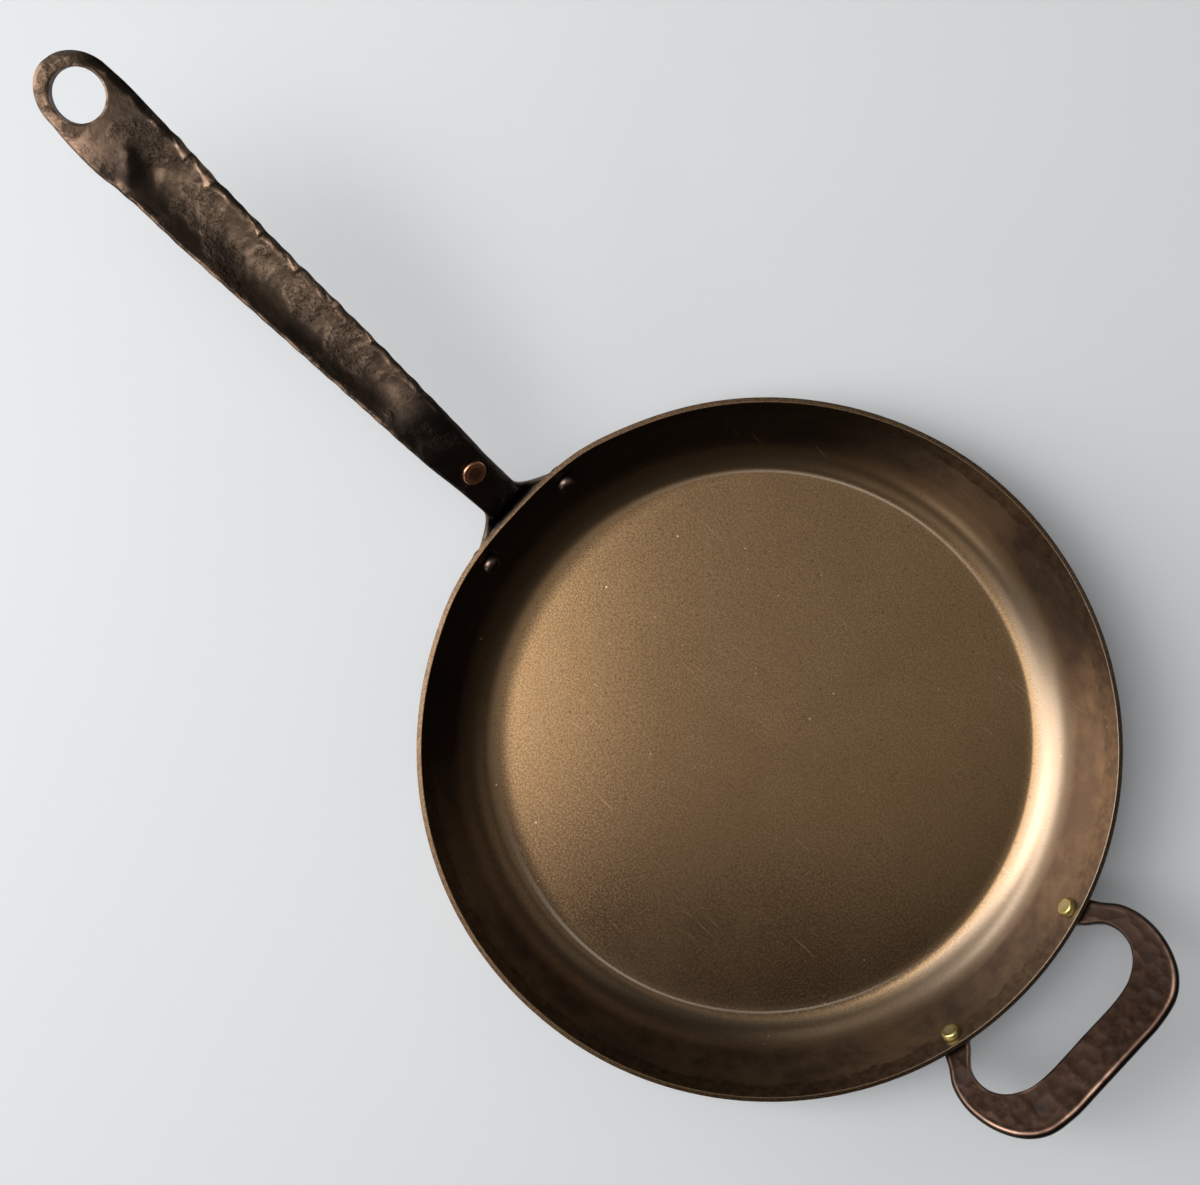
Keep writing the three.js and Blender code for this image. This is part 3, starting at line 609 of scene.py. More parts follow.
def make_long_handle(material):
    """Top and bottom sheets over the handle's plan, joined by upright bands round the outline and the hole.
    The sheets lean over towards the eye by a shear, and the hole's wall is marked for painted shade."""
    place, across, faces, loops = handle_plan()
    top, bottom, edge, polish = handle_heights(place, across)
    point, up = handle_line(place)
    shear = EYE_SHEAR * ease(place, GRIP_START, EYE_PLACE)
    sheets = [
        point + np.outer(across + shear * height, [0, 1, 0]) + up * height[:, None]
        for height in (top, bottom)
    ]
    count = len(place)
    points = list(sheets)
    all_faces = [faces, faces[:, ::-1] + count]
    hole_shade = [np.zeros(2 * count)]
    used = 2 * count
    # The band round the hole is marked 1 for painted shade on the hole's wall
    for loop, black in zip(loops, (0.0, 1.0)):
        share = np.linspace(0, 1, BAND_ROWS)[1:-1, None, None]
        band = sheets[0][loop] * (1 - share) + sheets[1][loop] * share
        fresh = used + np.arange(band.shape[0] * len(loop)).reshape(-1, len(loop))
        ids = np.vstack([loop, fresh, loop + count])
        all_faces.append(grid_faces(ids, closed=True))
        points.append(band.reshape(-1, 3))
        hole_shade.append(np.full(fresh.size, black))
        used += fresh.size
    plain = np.zeros(used - count)
    marks = {"edge": np.hstack([edge, plain]), "polish": np.hstack([polish, plain]),
             "hole_shade": np.hstack(hole_shade)}
    add_piece("long_handle_forging", np.vstack(points), np.vstack(all_faces), "long_handle",
              material, marks)


def flange_rings():
    """The bracket's flange: a plate bent round the wall. Its half length tapers from the middle, and its
    ends are rounded off with the fifth power of the distance."""
    y = np.sin(np.linspace(-np.pi / 2, np.pi / 2, 121)) * (FLANGE_HALF_WIDTH - FLANGE_END)
    reach = np.abs(y) / FLANGE_HALF_WIDTH
    taper = ease(np.abs(y), *FLANGE_TAPER_RUN)
    middle = FLANGE_MIDDLE + FLANGE_DROP * taper
    half_length = (FLANGE_HALF_LENGTH - FLANGE_TAPER * taper) * np.sqrt(1 - np.clip(reach, 0, 1) ** 5)
    half_length = np.maximum(half_length, FLANGE_LEAST)
    down, out = rounded_section(half_length, *PLATE)
    outside = SHEET + SEAT_GAP + BRACKET_THICKNESS / 2 + out
    angle = (y / FLANGE_BEND)[:, None] + 0 * down
    return wall_point(middle[:, None] + down, outside, angle)


def tang_rings():
    """The bracket's tang: a bar under the neck with a round tip, flared at its root by the power 2.2 of the
    distance and curved there with the wall."""
    tip_start = TANG_END - TANG_HALF_WIDTH
    tip_run = TANG_END - TANG_HALF_WIDTH * (1 - np.sin(np.linspace(0.08, 1.5, 20)))
    run = np.hstack([np.linspace(TANG_START, tip_start, 70), tip_run])
    flare = TANG_FLARE * np.clip(1 - np.maximum(run, 0) / TANG_FLARE_REACH, 0, 1) ** 2.2
    tip = np.clip((run - TANG_END + TANG_HALF_WIDTH) / TANG_HALF_WIDTH, 0, 1)
    half_width = (TANG_HALF_WIDTH + flare) * np.sqrt(1 - tip ** 2 * 0.98)
    across, height = rounded_section(half_width, *PLATE)
    below = NECK_THICKNESS / 2 + SEAT_GAP + BRACKET_THICKNESS / 2
    root = (NECK_THICKNESS / 2 + SEAT_GAP) / tan(WALL_SLOPE - NECK_SLOPE) + TANG_ROOT
    place = run[:, None] - root
    curve = (1 - ease(run, 0, TANG_CURVE_REACH))[:, None] * across ** 2 / (2 * FLANGE_BEND)
    x = NECK_FOOT[0] + place * cos(NECK_SLOPE) - (height - below) * sin(NECK_SLOPE) - curve
    z = NECK_FOOT[1] + place * sin(NECK_SLOPE) + (height - below) * cos(NECK_SLOPE)
    return np.stack([x, across, z], axis=-1)


def make_bracket(material):
    """The flange and the tang, grown into one forging."""
    flange = flange_rings()
    tang = tang_rings()
    points = np.vstack([flange.reshape(-1, 3), tang.reshape(-1, 3)])
    faces = ring_faces(flange) + ring_faces(tang, flange[..., 0].size)
    piece = add_piece("bracket_forging", points, faces, "handle_bracket", material)
    grow = piece.modifiers.new("Grow together", "REMESH")
    grow.mode = "VOXEL"
    grow.voxel_size = VOXEL * MM
    grow.use_smooth_shade = True
    soften = piece.modifiers.new("Soften", "SMOOTH")
    soften.factor = 0.5
    soften.iterations = 6


def helper_line(foot, foot_slope):
    """The strap's line from a foot's end: its runs up the foot, round the bend and out along the strap, and
    the distance along them at the strap's root."""
    root_radius, root_height = wall_profile(HELPER_ROOT_DEPTH, SHEET + SEAT_GAP + HELPER_THICKNESS / 2)
    # Where the foot's line and the strap's line cross, and how far the bend's round reaches along each
    foot_dir = cos(foot_slope), sin(foot_slope)
    strap_dir = cos(HELPER_RISE), sin(HELPER_RISE)
    gap = root_radius * cos(BRASS_RIVET_ANGLE) - foot[0], root_height - foot[1]
    cross = foot_dir[0] * strap_dir[1] - foot_dir[1] * strap_dir[0]
    foot_run = (gap[0] * strap_dir[1] - gap[1] * strap_dir[0]) / cross
    strap_run = (gap[0] * foot_dir[1] - gap[1] * foot_dir[0]) / cross
    bend = foot_slope - HELPER_RISE
    reach = FOOT_BEND_RADIUS * tan(bend / 2)
    runs = ((foot_run - reach, foot_slope, foot_slope), (FOOT_BEND_RADIUS * bend, foot_slope, HELPER_RISE),
            (STRAP_REACH, HELPER_RISE, HELPER_RISE))
    return runs, runs[0][0] + runs[1][0] - (strap_run + reach)


def helper_edges(foot_side, strap_zero):
    """The helper's inner and outer edges from one foot's end to the other, as distances along the bent strap
    and sideways: smooth curves through the paired points, with a half circle at each foot."""
    index = np.arange(len(HELPER_INNER))
    fine = np.linspace(0, index[-1], EDGE_STATIONS)
    edges = np.hstack([HELPER_INNER, HELPER_OUTER]).T
    inner_out, inner_side, outer_out, outer_side = (smooth_through(index, v, fine) for v in edges)
    inner_place = inner_out + strap_zero
    outer_place = outer_out + strap_zero
    low = min(inner_place[-1], outer_place[-1])
    straight = np.linspace(low, FOOT_HALF_WIDTH, 10)[1:]
    turn = np.linspace(0, FOOT_END_TURN, 14)[1:]
    foot_place = np.hstack([straight, FOOT_HALF_WIDTH * (1 - np.sin(turn))])
    foot_half = np.hstack([np.full(len(straight), FOOT_HALF_WIDTH), FOOT_HALF_WIDTH * np.cos(turn)])
    # Each curve runs on into the foot, and the other half is a mirror image that shares the middle station.
    curves = ((inner_place, foot_place, 1), (inner_side, foot_side - foot_half, -1),
              (outer_place, foot_place, 1), (outer_side, foot_side + foot_half, -1))
    return [np.hstack([sign * foot[::-1], sign * v[:0:-1], v, foot]) for v, foot, sign in curves]


def make_helper(material):
    """A rounded bar whose width runs from edge to edge of the helper, bent down onto the wall at both feet,
    with shallow hammer bowls on its faces."""
    outside = SHEET + SEAT_GAP + FOOT_THICKNESS / 2
    foot_radius, foot_height = wall_profile(FOOT_END_DEPTH, outside)
    foot_side = wall_profile(BRASS_RIVET_DEPTH, SHEET)[0] * sin(BRASS_RIVET_ANGLE)
    foot_x = sqrt(foot_radius ** 2 - foot_side ** 2)
    top_radius, top_height = wall_profile(0, outside)
    foot_slope = atan2(top_height - foot_height, sqrt(top_radius ** 2 - foot_side ** 2) - foot_x)
    runs, strap_zero = helper_line((foot_x, foot_height), foot_slope)
    bend_start = runs[0][0]
    bend_end = bend_start + runs[1][0]
    place_in, side_in, place_out, side_out = helper_edges(foot_side, strap_zero)

    half_width = np.hypot(place_out - place_in, side_out - side_in) / 2
    middle_place = (place_in + place_out) / 2
    thickened = ease(middle_place, bend_start, bend_start + THICKENING)
    thick = FOOT_THICKNESS + (HELPER_THICKNESS - FOOT_THICKNESS) * thickened
    outer_round = np.minimum(np.minimum(HELPER_OUTER_EDGE, thick * 0.46), half_width * 0.7)
    inner_round = np.minimum(HELPER_INNER_EDGE, half_width * 0.7)
    across, height = rounded_section(half_width, thick / 2, outer_round, inner_round, 26, 8)
    share = (across / half_width[:, None] + 1) / 2
    place = place_in[:, None] + (place_out - place_in)[:, None] * share
    side = side_in[:, None] + (side_out - side_in)[:, None] * share

    rng = np.random.default_rng(5)
    pitch, drift = HELPER_MARK_PITCH, HELPER_MARK_DRIFT
    seed_place, seed_side = np.meshgrid(np.arange(-4, 70, pitch), np.arange(-60, 61, pitch))
    seed_place = seed_place.ravel() + rng.uniform(-drift, drift, seed_place.size)
    seed_side = seed_side.ravel() + rng.uniform(-drift, drift, seed_side.size)
    marks = bowls(place, side, seed_place, seed_side, 0.012, rng.uniform(0, 0.12, seed_place.size))
    to_outer = half_width[:, None] - across
    to_inner = half_width[:, None] + across
    inside = ease(np.minimum(to_outer - outer_round[:, None], to_inner), 0.0, 1.6)
    height = height + np.sign(height) * (np.clip(marks, 0, 0.5) - 0.2) * inside
    # Copper edges, partly scuffing and partly painted highlight: along the outer edge, strongest at the far
    # end, and along one arm's inner edge
    far = ease(middle_place, 25, 50)[:, None] * (0.65 + 0.35 * ease(side, -5, 40))
    outer_wear_and_highlight = (0.12 + 0.88 * far) * hump(to_outer, 0.75 * outer_round[:, None], 0.5)
    inner_wear_and_highlight = 0.5 * ease(-side, 20, 36) * hump(to_inner, 0.5, 0.5)
    edge = np.where(height > 0, np.maximum(outer_wear_and_highlight, inner_wear_and_highlight), 0)

    x, z, slope = bent_line(place, (foot_x, foot_height), runs)
    onto_wall = 1 - ease(place, bend_start - 2, bend_end)
    wrap = np.sqrt(foot_radius ** 2 - np.clip(np.abs(side), 0, WRAP_LIMIT) ** 2) - foot_x
    x = x + onto_wall * wrap - height * np.sin(slope)
    z = z + height * np.cos(slope)
    turn_cos, turn_sin = cos(HELPER_TURN), sin(HELPER_TURN)
    points = np.stack([x * turn_cos - side * turn_sin, x * turn_sin + side * turn_cos, z], axis=-1)
    add_piece("helper_strap", points, ring_faces(points), "helper_handle", material,
              {"edge": edge})


def button_head(radius, height, face):
    """A flat button, a little dished, with a rounded chamfer down to an upright side."""
    dish = np.linspace(0, 1, 8)[:, None] * [face, 0] + np.array([0, height - HEAD_DISH])
    dish[:, 1] += HEAD_DISH * (dish[:, 0] / face) ** 2
    turn = np.linspace(0, np.pi / 2, 8)[1:]
    chamfer = height - (height * 0.62) * (1 - np.cos(turn))
    side = np.stack([face + (radius - face) * np.sin(turn), chamfer], axis=1)
    return np.vstack([dish, side, [[radius, HEAD_LIFT]]])


def rivet_profile(head, grip, tail=TAIL):
    """A button head above the layers, a shank through them and a domed tail below, from axis to axis."""
    turn = np.linspace(0, np.pi / 2, 9)
    dome = np.stack([tail[0] * np.cos(turn), -grip - TAIL_LIFT - tail[1] * np.sin(turn)], axis=1)
    shank = np.array([[SHANK_RADIUS, HEAD_LIFT], [SHANK_RADIUS, -grip - TAIL_LIFT]])
    return np.vstack([button_head(*head), shank, dome])


def make_rivet(name, node, material, profile, origin, axis):
    """A profile turned about an axis that points out of the head."""
    axis = np.asarray(axis, float) / np.linalg.norm(axis)
    first = np.cross(axis, [0.0, 0.0, 1.0])
    first = first / np.linalg.norm(first)
    second = np.cross(axis, first)
    angle = np.linspace(0, 2 * np.pi, RIVET_COLUMNS, endpoint=False)
    ring = np.cos(angle)[:, None] * first + np.sin(angle)[:, None] * second
    points = origin + profile[:, :1, None] * ring[None] + profile[:, 1:, None] * axis
    ids = np.arange(points.shape[0] * RIVET_COLUMNS).reshape(-1, RIVET_COLUMNS)
    rim = profile[:, 0] / profile[:, 0].max()
    edge = np.repeat(np.where(profile[:, 1] > 0, rim, 0), RIVET_COLUMNS)
    add_piece(name, points, grid_faces(ids, closed=True), node, material, {"edge": edge})


def wall_rivet(name, node, material, profile, depth, angle):
    """A rivet at a depth down the wall and an angle about the pan's axis, with its head inside."""
    inwards = -WALL_OUT[0] * cos(angle), -WALL_OUT[0] * sin(angle), -WALL_OUT[1]
    make_rivet(name, node, material, profile, wall_point(depth, 0.0, np.array(angle)), inwards)


def make_rivets(steel, brass, copper):
    """Steel rivets through the wall and the bracket, brass ones through the wall and the helper's feet, and
    a copper one through the neck and the tang."""
    bracket_profile = rivet_profile(STEEL_HEAD, SHEET + SEAT_GAP + BRACKET_THICKNESS, STEEL_TAIL)
    foot_profile = rivet_profile(BRASS_HEAD, SHEET + SEAT_GAP + FOOT_THICKNESS)
    neck_profile = rivet_profile(COPPER_HEAD, NECK_THICKNESS + SEAT_GAP + BRACKET_THICKNESS)
    for side, sign in (("right", -1), ("left", 1)):
        wall_rivet("steel_rivet_" + side, "steel_bracket_rivet_" + side, steel,
                   bracket_profile, STEEL_RIVET_DEPTH, sign * STEEL_RIVET_ANGLE)
        wall_rivet("brass_rivet_" + side, "brass_helper_rivet_" + side, brass,
                   foot_profile, BRASS_RIVET_DEPTH, HELPER_TURN + sign * BRASS_RIVET_ANGLE)
    point, up = handle_line(np.array(COPPER_RIVET_PLACE))
    make_rivet("copper_rivet", "copper_handle_rivet", copper, neck_profile,
               point + up * NECK_THICKNESS / 2, up)


# Node helpers. A new group or material becomes the tree in work, and the helpers add to that tree.
work = {}


def join(socket, value):
    """Links a socket to another node's output, or gives it a plain value. A colour is made opaque."""
    if isinstance(value, bpy.types.NodeSocket):
        work["tree"].links.new(value, socket)
    elif socket.type == "RGBA":
        socket.default_value = (*value, 1)
    else:
        socket.default_value = value


def put(kind, settings=None, *values, **inputs):
    """A new shader node with its settings, and values or links for its inputs, in their order or by name."""
    node = work["tree"].nodes.new("ShaderNode" + kind)
    for key, value in (settings or {}).items():
        setattr(node, key, value)
    for socket, value in zip(node.inputs, values):
        join(socket, value)
    for label, value in inputs.items():
        join(node.inputs[label], value)
    return node


def math_node(operation, first, *others):
    """Values joined in turn by one operation."""
    for other in others:
        first = put("Math", {"operation": operation}, first, other).outputs[0]
    return first


def times(*values):
    """The product of values."""
    return math_node("MULTIPLY", *values)


def plus(*values):
    """The sum of values."""
    return math_node("ADD", *values)


def ramp(value, low, high, out_low=0, out_high=1):
    """A value moved from one range to another by the smooth cubic t * t * (3 - 2 * t)."""
    settings = {"interpolation_type": "SMOOTHSTEP"}
    return put("MapRange", settings, value, low, high, out_low, out_high).outputs[0]


def mix_colour(share, first, second):
    """The first colour times one minus the share, plus the second colour times the share."""
    node = put("Mix", {"data_type": "RGBA"})
    # A mix node has its factor at socket 0, its colours at 6 and 7, and the mixed colour at output 2.
    for place, value in ((0, share), (6, first), (7, second)):
        join(node.inputs[place], value)
    return node.outputs[2]


def paint(base, *layers):
    """A base colour with layers over it, each a colour and the shares whose product mixes it in."""
    for colour, *shares in layers:
        base = mix_colour(times(*shares), base, colour)
    return base


def noise(where, scale, detail=3, roughness=0.55):
    """A cloudy value between 0 and 1 at each place."""
    inputs = {"Vector": where, "Scale": scale, "Detail": detail, "Roughness": roughness}
    return put("TexNoise", **inputs).outputs["Fac"]


def along(where, direction):
    """How far a point lies along a direction: the dot product of its place and the direction."""
    return put("VectorMath", {"operation": "DOT_PRODUCT"}, where, direction).outputs["Value"]


def mask_of(name):
    """A mark that the piece carries at its points."""
    return put("Attribute", {"attribute_name": name}).outputs["Fac"]


def new_group(name, inputs, outputs):
    """A node group that takes a place and named values, and gives named values."""
    group = bpy.data.node_groups.new(name, "ShaderNodeTree")
    work["tree"] = group
    sockets = group.interface
    sockets.new_socket("Vector", in_out="INPUT", socket_type="NodeSocketVector")
    for label, default in inputs.items():
        socket = sockets.new_socket(label, in_out="INPUT", socket_type="NodeSocketFloat")
        socket.default_value = default
    for label in outputs:
        sockets.new_socket(label, in_out="OUTPUT", socket_type="NodeSocketFloat")
    return group, group.nodes.new("NodeGroupInput").outputs, group.nodes.new("NodeGroupOutput").inputs


def use_group(group, where, **inputs):
    """A node group's outputs at each place, with its input values or links."""
    return put("Group", {"node_tree": group}, Vector=where, **inputs).outputs


# Effects of the materials

def cloud_group():
    """Soft clouds at two sizes, for the drift of tone in a heat-coloured finish."""
    group, given, result = new_group("Tone clouds", {"Scale": 12}, ["Share"])
    where, scale = given["Vector"], given["Scale"]
    wide = noise(where, scale, 4, 0.6)
    close = noise(where, times(scale, 5), 5, 0.6)
    both = plus(times(wide, 0.65), times(close, 0.35))
    join(result["Share"], ramp(both, 0.36, 0.64))
    return group


def speck_group():
    """Scattered specks: the middles of cells, out to a distance that varies from cell to cell."""
    group, given, result = new_group("Specks", {"Scale": 300, "Size": 0.2}, ["Mask"])
    cells = put("TexVoronoi", Vector=given["Vector"], Scale=given["Scale"]).outputs
    drift = put("SeparateColor", Color=cells["Color"]).outputs[0]
    inside = math_node("SUBTRACT", times(given["Size"], drift), cells["Distance"])
    join(result["Mask"], ramp(inside, 0, 0.08))
    return group


def pit_group():
    """Forged skin: a rough scale with shallow pits in patches, as a height and a mask of the pits."""
    group, given, result = new_group("Forged skin", {"Scale": 350}, ["Height", "Pits"])
    where, scale = given["Vector"], given["Scale"]
    broad = noise(where, scale, 6, 0.68)
    patches = ramp(noise(where, times(scale, 0.22), 2), 0.45, 0.62)
    relief = times(broad, plus(times(patches, 1.1), 0.3))
    fine = noise(where, times(scale, 2.4), 3, 0.6)
    pits = times(ramp(fine, 0.40, 0.48, 1, 0), patches)
    join(result["Height"], math_node("SUBTRACT", relief, times(pits, 0.35)))
    join(result["Pits"], pits)
    return group


def wear_group():
    """Bright edges, partly scuffing and partly painted highlight: the piece's own edge mark, broken up by
    clouds that leave at least a share of it.
    """
    inputs = {"Edge": 0, "Scale": 120, "Amount": 1, "Least": 0.25}
    group, given, result = new_group("Edge scuffs and highlight", inputs, ["Mask"])
    broken = ramp(noise(given["Vector"], given["Scale"], 4), 0.38, 0.6, given["Least"], 1)
    join(result["Mask"], times(given["Edge"], broken, given["Amount"]))
    return group


def scuff_mask(where, scale):
    """Fine scuffs: clouds drawn out 32 times into streaks in two directions, kept where a wider cloud is
    high."""
    layers = []
    for turn, shift in ((0.45, 0), (-0.8, 3)):
        turned = put("Mapping", Vector=where, Rotation=(0, 0, turn),
                     Location=(shift, shift, 0), Scale=(1, 32, 1)).outputs["Vector"]
        layers.append(ramp(noise(turned, scale, 1), 0.70, 0.76))
    shown = ramp(noise(where, scale, 2), 0.5, 0.62)
    return times(math_node("MAXIMUM", *layers), shown)


clouds = cloud_group()
specks = speck_group()
forged_skin = pit_group()
edge_wear_and_highlight = wear_group()


# Materials

def new_material(name):
    """A metal, with its shader and its places in object coordinates."""
    material = bpy.data.materials.new(name)
    material.use_nodes = True
    work["tree"] = material.node_tree
    shader = material.node_tree.nodes["Principled BSDF"]
    shader.inputs["Metallic"].default_value = 1
    return material, shader, put("TexCoord").outputs["Object"]


def dress(shader, base, rough, relief, depth, strength=0.5):
    """Gives a shader its colour, its roughness and a relief of a depth in metres."""
    bump = put("Bump", Height=relief, Distance=depth, Strength=strength)
    join(shader.inputs["Base Color"], base)
    join(shader.inputs["Roughness"], rough)
    join(shader.inputs["Normal"], bump.outputs["Normal"])


def bronzed_steel():
    """Seasoned sheet steel: a bronze floor, darkened towards one side by painted shade, and a greyer wall
    with a ragged stain under the rim, darkened almost to black towards the long handle by painted shade,
    with grain, specks and scuffs. The cove opposite the handle is glazed and tinted paler as a painted
    highlight, and stretches of the crease carry a painted highlight."""
    material, shader, where = new_material("Bronzed sheet steel")
    axes = put("SeparateXYZ", Vector=where).outputs
    height = axes["Z"]
    grain = noise(where, 1150, 2)
    tone = use_group(clouds, where, Scale=9)["Share"]
    # Painted shade on the floor: darker towards one side, where the light falls off, broken up by tone and
    # grain
    floor_shade = times(ramp(along(where, TO_FLOOR_SHADE), -0.01, 0.118), ramp(tone, 0, 1, 0.74, 0.94),
                 ramp(height, 0.0026, 0.0034, 1, 0.55), ramp(grain, 0.36, 0.6, 0.68, 1))
    floor_tone = paint(mix_colour(tone, *FLOOR_TONES), (FLOOR_SHADE_TONE, floor_shade))
    patch = use_group(clouds, where, Scale=24)["Share"]
    wall_tone = mix_colour(patch, *WALL_TONES)
    base = mix_colour(ramp(height, 0.006, 0.020), floor_tone, wall_tone)

    cove = times(ramp(height, CREASE_LEVEL, 0.0042), ramp(height, 0.008, 0.017, 1, 0))
    open_side = ramp(axes["X"], -0.05, 0.04, 1, 0)
    facing = ramp(along(where, TO_BRIGHT), 0.07, 0.122)
    glazed = times(ramp(height, CREASE_LEVEL, COVE_LEVEL), open_side)
    tide = times(noise(where, 90, 5, 0.65), 0.012)
    above = math_node("SUBTRACT", height, plus(tide, STAIN_LEVEL))
    mottle = ramp(noise(where, 260, 4, 0.6), 0.38, 0.62)
    # Painted shade: cove and wall darken towards the long handle
    wall_shade = ramp(along(where, TO_WALL_SHADE), 0.03, 0.10)
    on_floor = ramp(height, FLOOR_LEVEL, 0.0029, 1, 0.4)
    dark = use_group(specks, where, Scale=330, Size=0.28)["Mask"]
    bright = use_group(specks, where, Scale=120, Size=0.09)["Mask"]
    base = paint(
        base,
        # Painted highlight: the cove tinted paler away from the handle, most where it faces the brightest
        # light
        (COVE_HIGHLIGHT_TINT, cove, plus(times(open_side, 0.4), times(facing, 0.2))),
        (mix_colour(mottle, *STAIN_TONES), ramp(above, 0, 0.0012), 0.85),
        # Painted shade towards the long handle
        (WALL_SHADE_TONE, wall_shade, ramp(height, COVE_LEVEL, 0.010), 0.92),
        (GRAIN_SHADE, ramp(grain, 0.34, 0.66, 0, 0.32), on_floor),
        (DARK_SPECK, dark, ramp(glazed, 0, 1, 0.35, 0.12)),
        (BRIGHT_SPECK, bright, 0.8),
        (SCUFF, scuff_mask(where, 34), 0.3),
        # Painted highlight along stretches of the crease
        (CREASE_HIGHLIGHT, mask_of("crease"), 0.5),
        (mix_colour(ramp(grain, 0.4, 0.6), *FILED_TONES), mask_of("edge")),
    )

    dull = times(ramp(axes["X"], -0.06, 0.06), ramp(height, COVE_LEVEL, 0.009, 0, 0.1))
    cove_rough = ramp(height, FLOOR_LEVEL, 0.0045, 0.2, 0.29)
    wall_rough = ramp(height, 0.0045, 0.012, 0, 0.14)
    dress(shader, base, plus(cove_rough, wall_rough, dull), grain, 0.00003)
    join(shader.inputs["Coat Weight"], ramp(times(glazed, facing), 0, 1, 0.2, 1))
    shader.inputs["Coat Roughness"].default_value = 0.31
    return material


def forged_steel(name, scale_tones, shaded_corner=False):
    """Forged bar: dark scale with pits, brown where hands polish it, bright on edges from scuffing and
    painted highlight, and near black with painted shade in the eye's hole. The bracket is grown together and
    loses its marks, so its painted shade behind the neck is placed by coordinates."""
    material, shader, where = new_material(name)
    tone = use_group(clouds, where, Scale=60)["Share"]
    skin = use_group(forged_skin, where, Scale=300)
    shaded = mask_of("hole_shade")
    # Painted shade of the neck on the bracket, placed by coordinates
    if shaded_corner:
        axes = put("SeparateXYZ", Vector=where).outputs
        by_wall = ramp(axes["X"], 0.1555, 0.158, 1, 0)
        sideways = math_node("ABSOLUTE", axes["Y"], 0)
        shaded = times(by_wall, ramp(sideways, 0.011, 0.015, 1, 0))
    worn_and_lit = use_group(edge_wear_and_highlight, where, Edge=mask_of("edge"), Scale=190, Amount=1, Least=0.05)["Mask"]
    base = paint(
        mix_colour(tone, *scale_tones),
        (mix_colour(tone, *POLISH_TONES), mask_of("polish")),
        (PIT_SHADE, skin["Pits"], 0.35),
        # Painted shade in the eye's hole and on the bracket behind the neck
        (PAINTED_SHADE, shaded),
        # Bright edges: scuffing and painted highlight
        (WORN_AND_LIT_STEEL, worn_and_lit),
    )
    dress(shader, base, ramp(tone, 0, 1, 0.46, 0.36), skin["Height"], 0.0009, 0.8)
    return material


def helper_steel():
    """Hammered strap: dark brown with rust and spots, lighter at its upper foot, copper on its edges from
    scuffing and painted highlight.
    """
    material, shader, where = new_material("Hammered brown strap")
    tone = use_group(clouds, where, Scale=70)["Share"]
    rust = ramp(noise(where, 380, 5, 0.65), 0.42, 0.62)
    upper = ramp(along(where, TO_UPPER_FOOT), -0.105, -0.06, 0, 0.65)
    worn_and_lit = use_group(edge_wear_and_highlight, where, Edge=mask_of("edge"), Scale=60, Amount=1.3, Least=0.25)["Mask"]
    base = paint(
        mix_colour(tone, *STRAP_TONES),
        (STRAP_RUST, rust, 0.6),
        (STRAP_UPPER, upper),
        (STRAP_SPOT, use_group(specks, where, Scale=110, Size=0.5)["Mask"], 0.25),
        (WORN_AND_LIT_STRAP, worn_and_lit),
    )
    skin = use_group(forged_skin, where, Scale=260)
    dress(shader, base, ramp(tone, 0, 1, 0.5, 0.4), skin["Height"], 0.00006)
    return material


def rivet_metal(name, middle, dark, light, rough):
    """A rivet's metal: a tarnished middle and a rim that is brighter from rubbing, with clouds of tarnish.
    """
    material, shader, where = new_material(name)
    tone = use_group(clouds, where, Scale=160)["Share"]
    rim = ramp(mask_of("edge"), 0.4, 0.8)
    base = mix_colour(rim, middle, mix_colour(tone, dark, light))
    skin = use_group(forged_skin, where, Scale=500)
    dress(shader, base, ramp(rim, 0, 1, rough + DULL_MIDDLE, rough), skin["Height"], 0.00012)
    return material


# Stage

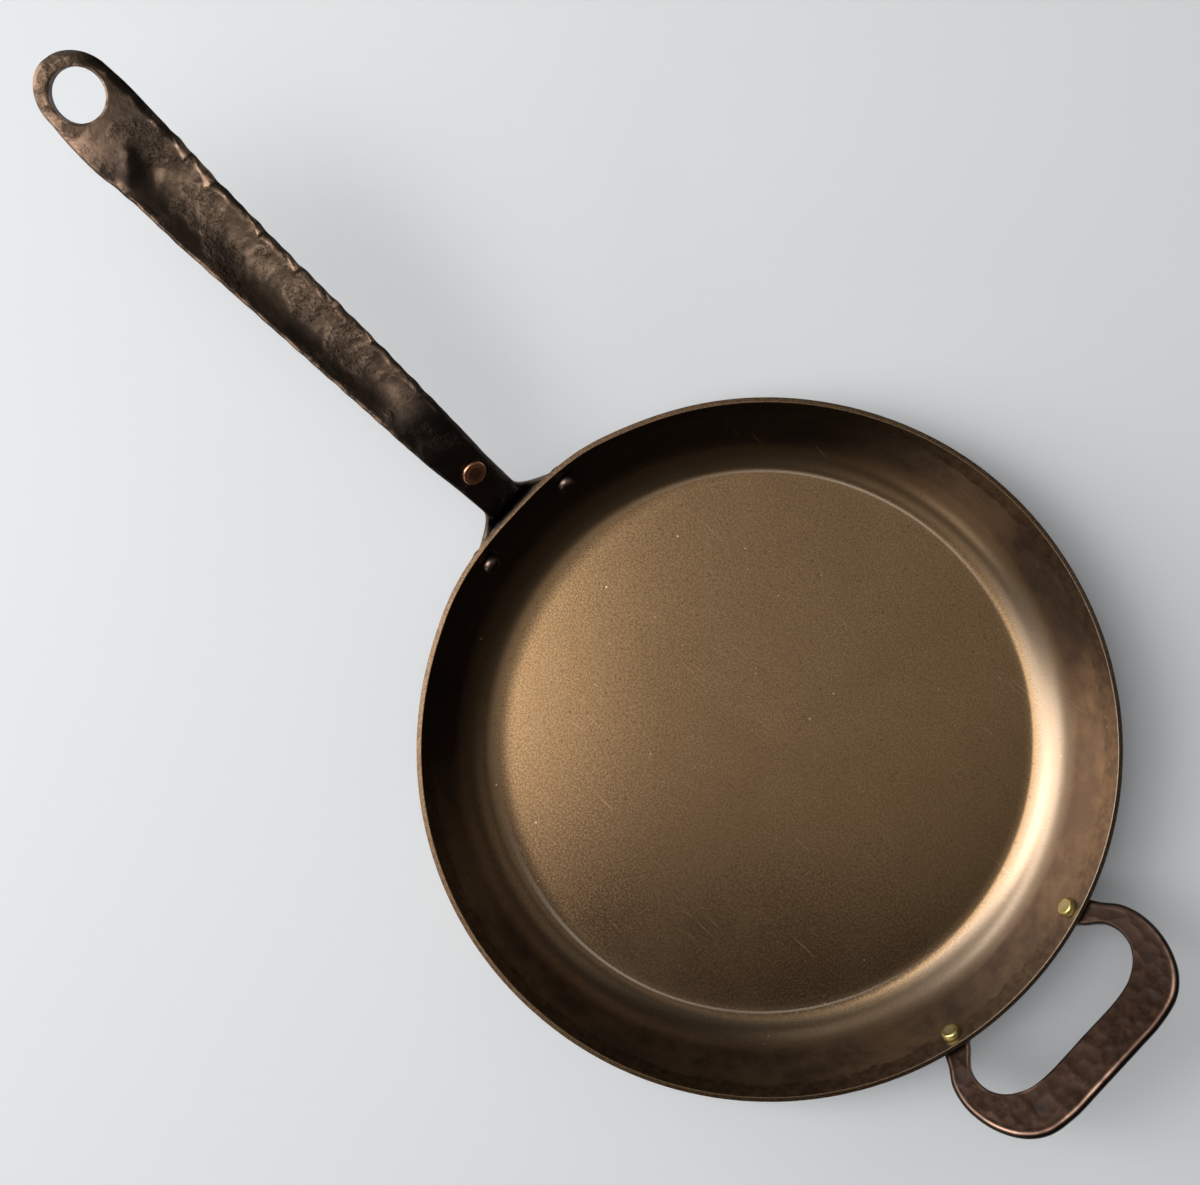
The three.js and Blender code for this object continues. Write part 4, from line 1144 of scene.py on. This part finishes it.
def make_floor():
    """A flat square under the pan."""
    mesh = bpy.data.meshes.new("floor")
    around = ((-1, -1), (1, -1), (1, 1), (-1, 1))
    corners = [(x * STAGE_REACH, y * STAGE_REACH, STAGE_LEVEL) for x, y in around]
    mesh.from_pydata(corners, [], [(0, 1, 2, 3)])
    material = bpy.data.materials.new("Pale floor")
    material.use_nodes = True
    shader = material.node_tree.nodes["Principled BSDF"]
    shader.inputs["Base Color"].default_value = STAGE_COLOUR
    shader.inputs["Roughness"].default_value = 0.6
    mesh.materials.append(material)
    floor = bpy.data.objects.new("floor", mesh)
    bpy.context.scene.collection.objects.link(floor)


def make_light(name, place, aim, width, height, watts):
    """A soft rectangle of light that faces a point."""
    lamp = bpy.data.lights.new(name, "AREA")
    lamp.shape = "RECTANGLE"
    lamp.size = width
    lamp.size_y = height
    lamp.energy = watts
    holder = bpy.data.objects.new(name, lamp)
    holder.location = place
    direction = Vector(aim) - Vector(place)
    holder.rotation_euler = direction.to_track_quat("-Z", "Y").to_euler()
    bpy.context.scene.collection.objects.link(holder)


make_pan(bronzed_steel())
make_long_handle(forged_steel("Forged dark steel", HANDLE_SCALE))
# The bracket takes a lighter scale as painted light, and painted shade behind the neck
make_bracket(forged_steel("Forged bracket steel", BRACKET_LIT_SCALE, True))
make_helper(helper_steel())
make_rivets(rivet_metal("Dark rivet steel", *RIVET_STEEL), rivet_metal("Satin brass", *BRASS),
            rivet_metal("Aged copper", *COPPER))

make_floor()
for light in LIGHTS:
    make_light(*light)
world = bpy.data.worlds.new("room")
world.use_nodes = True
background = world.node_tree.nodes["Background"].inputs
background["Color"].default_value = ROOM_COLOUR
background["Strength"].default_value = ROOM_STRENGTH
scene = bpy.context.scene
scene.world = world
scene.view_settings.view_transform = "Standard"

camera_data = bpy.data.cameras.new("camera")
camera_data.lens = CAMERA_LENS
camera_data.sensor_width = SENSOR_WIDTH
camera = bpy.data.objects.new("camera", camera_data)
camera.location = CAMERA_PLACE
camera.rotation_euler = (0, 0, CAMERA_TURN)
scene.collection.objects.link(camera)
scene.camera = camera
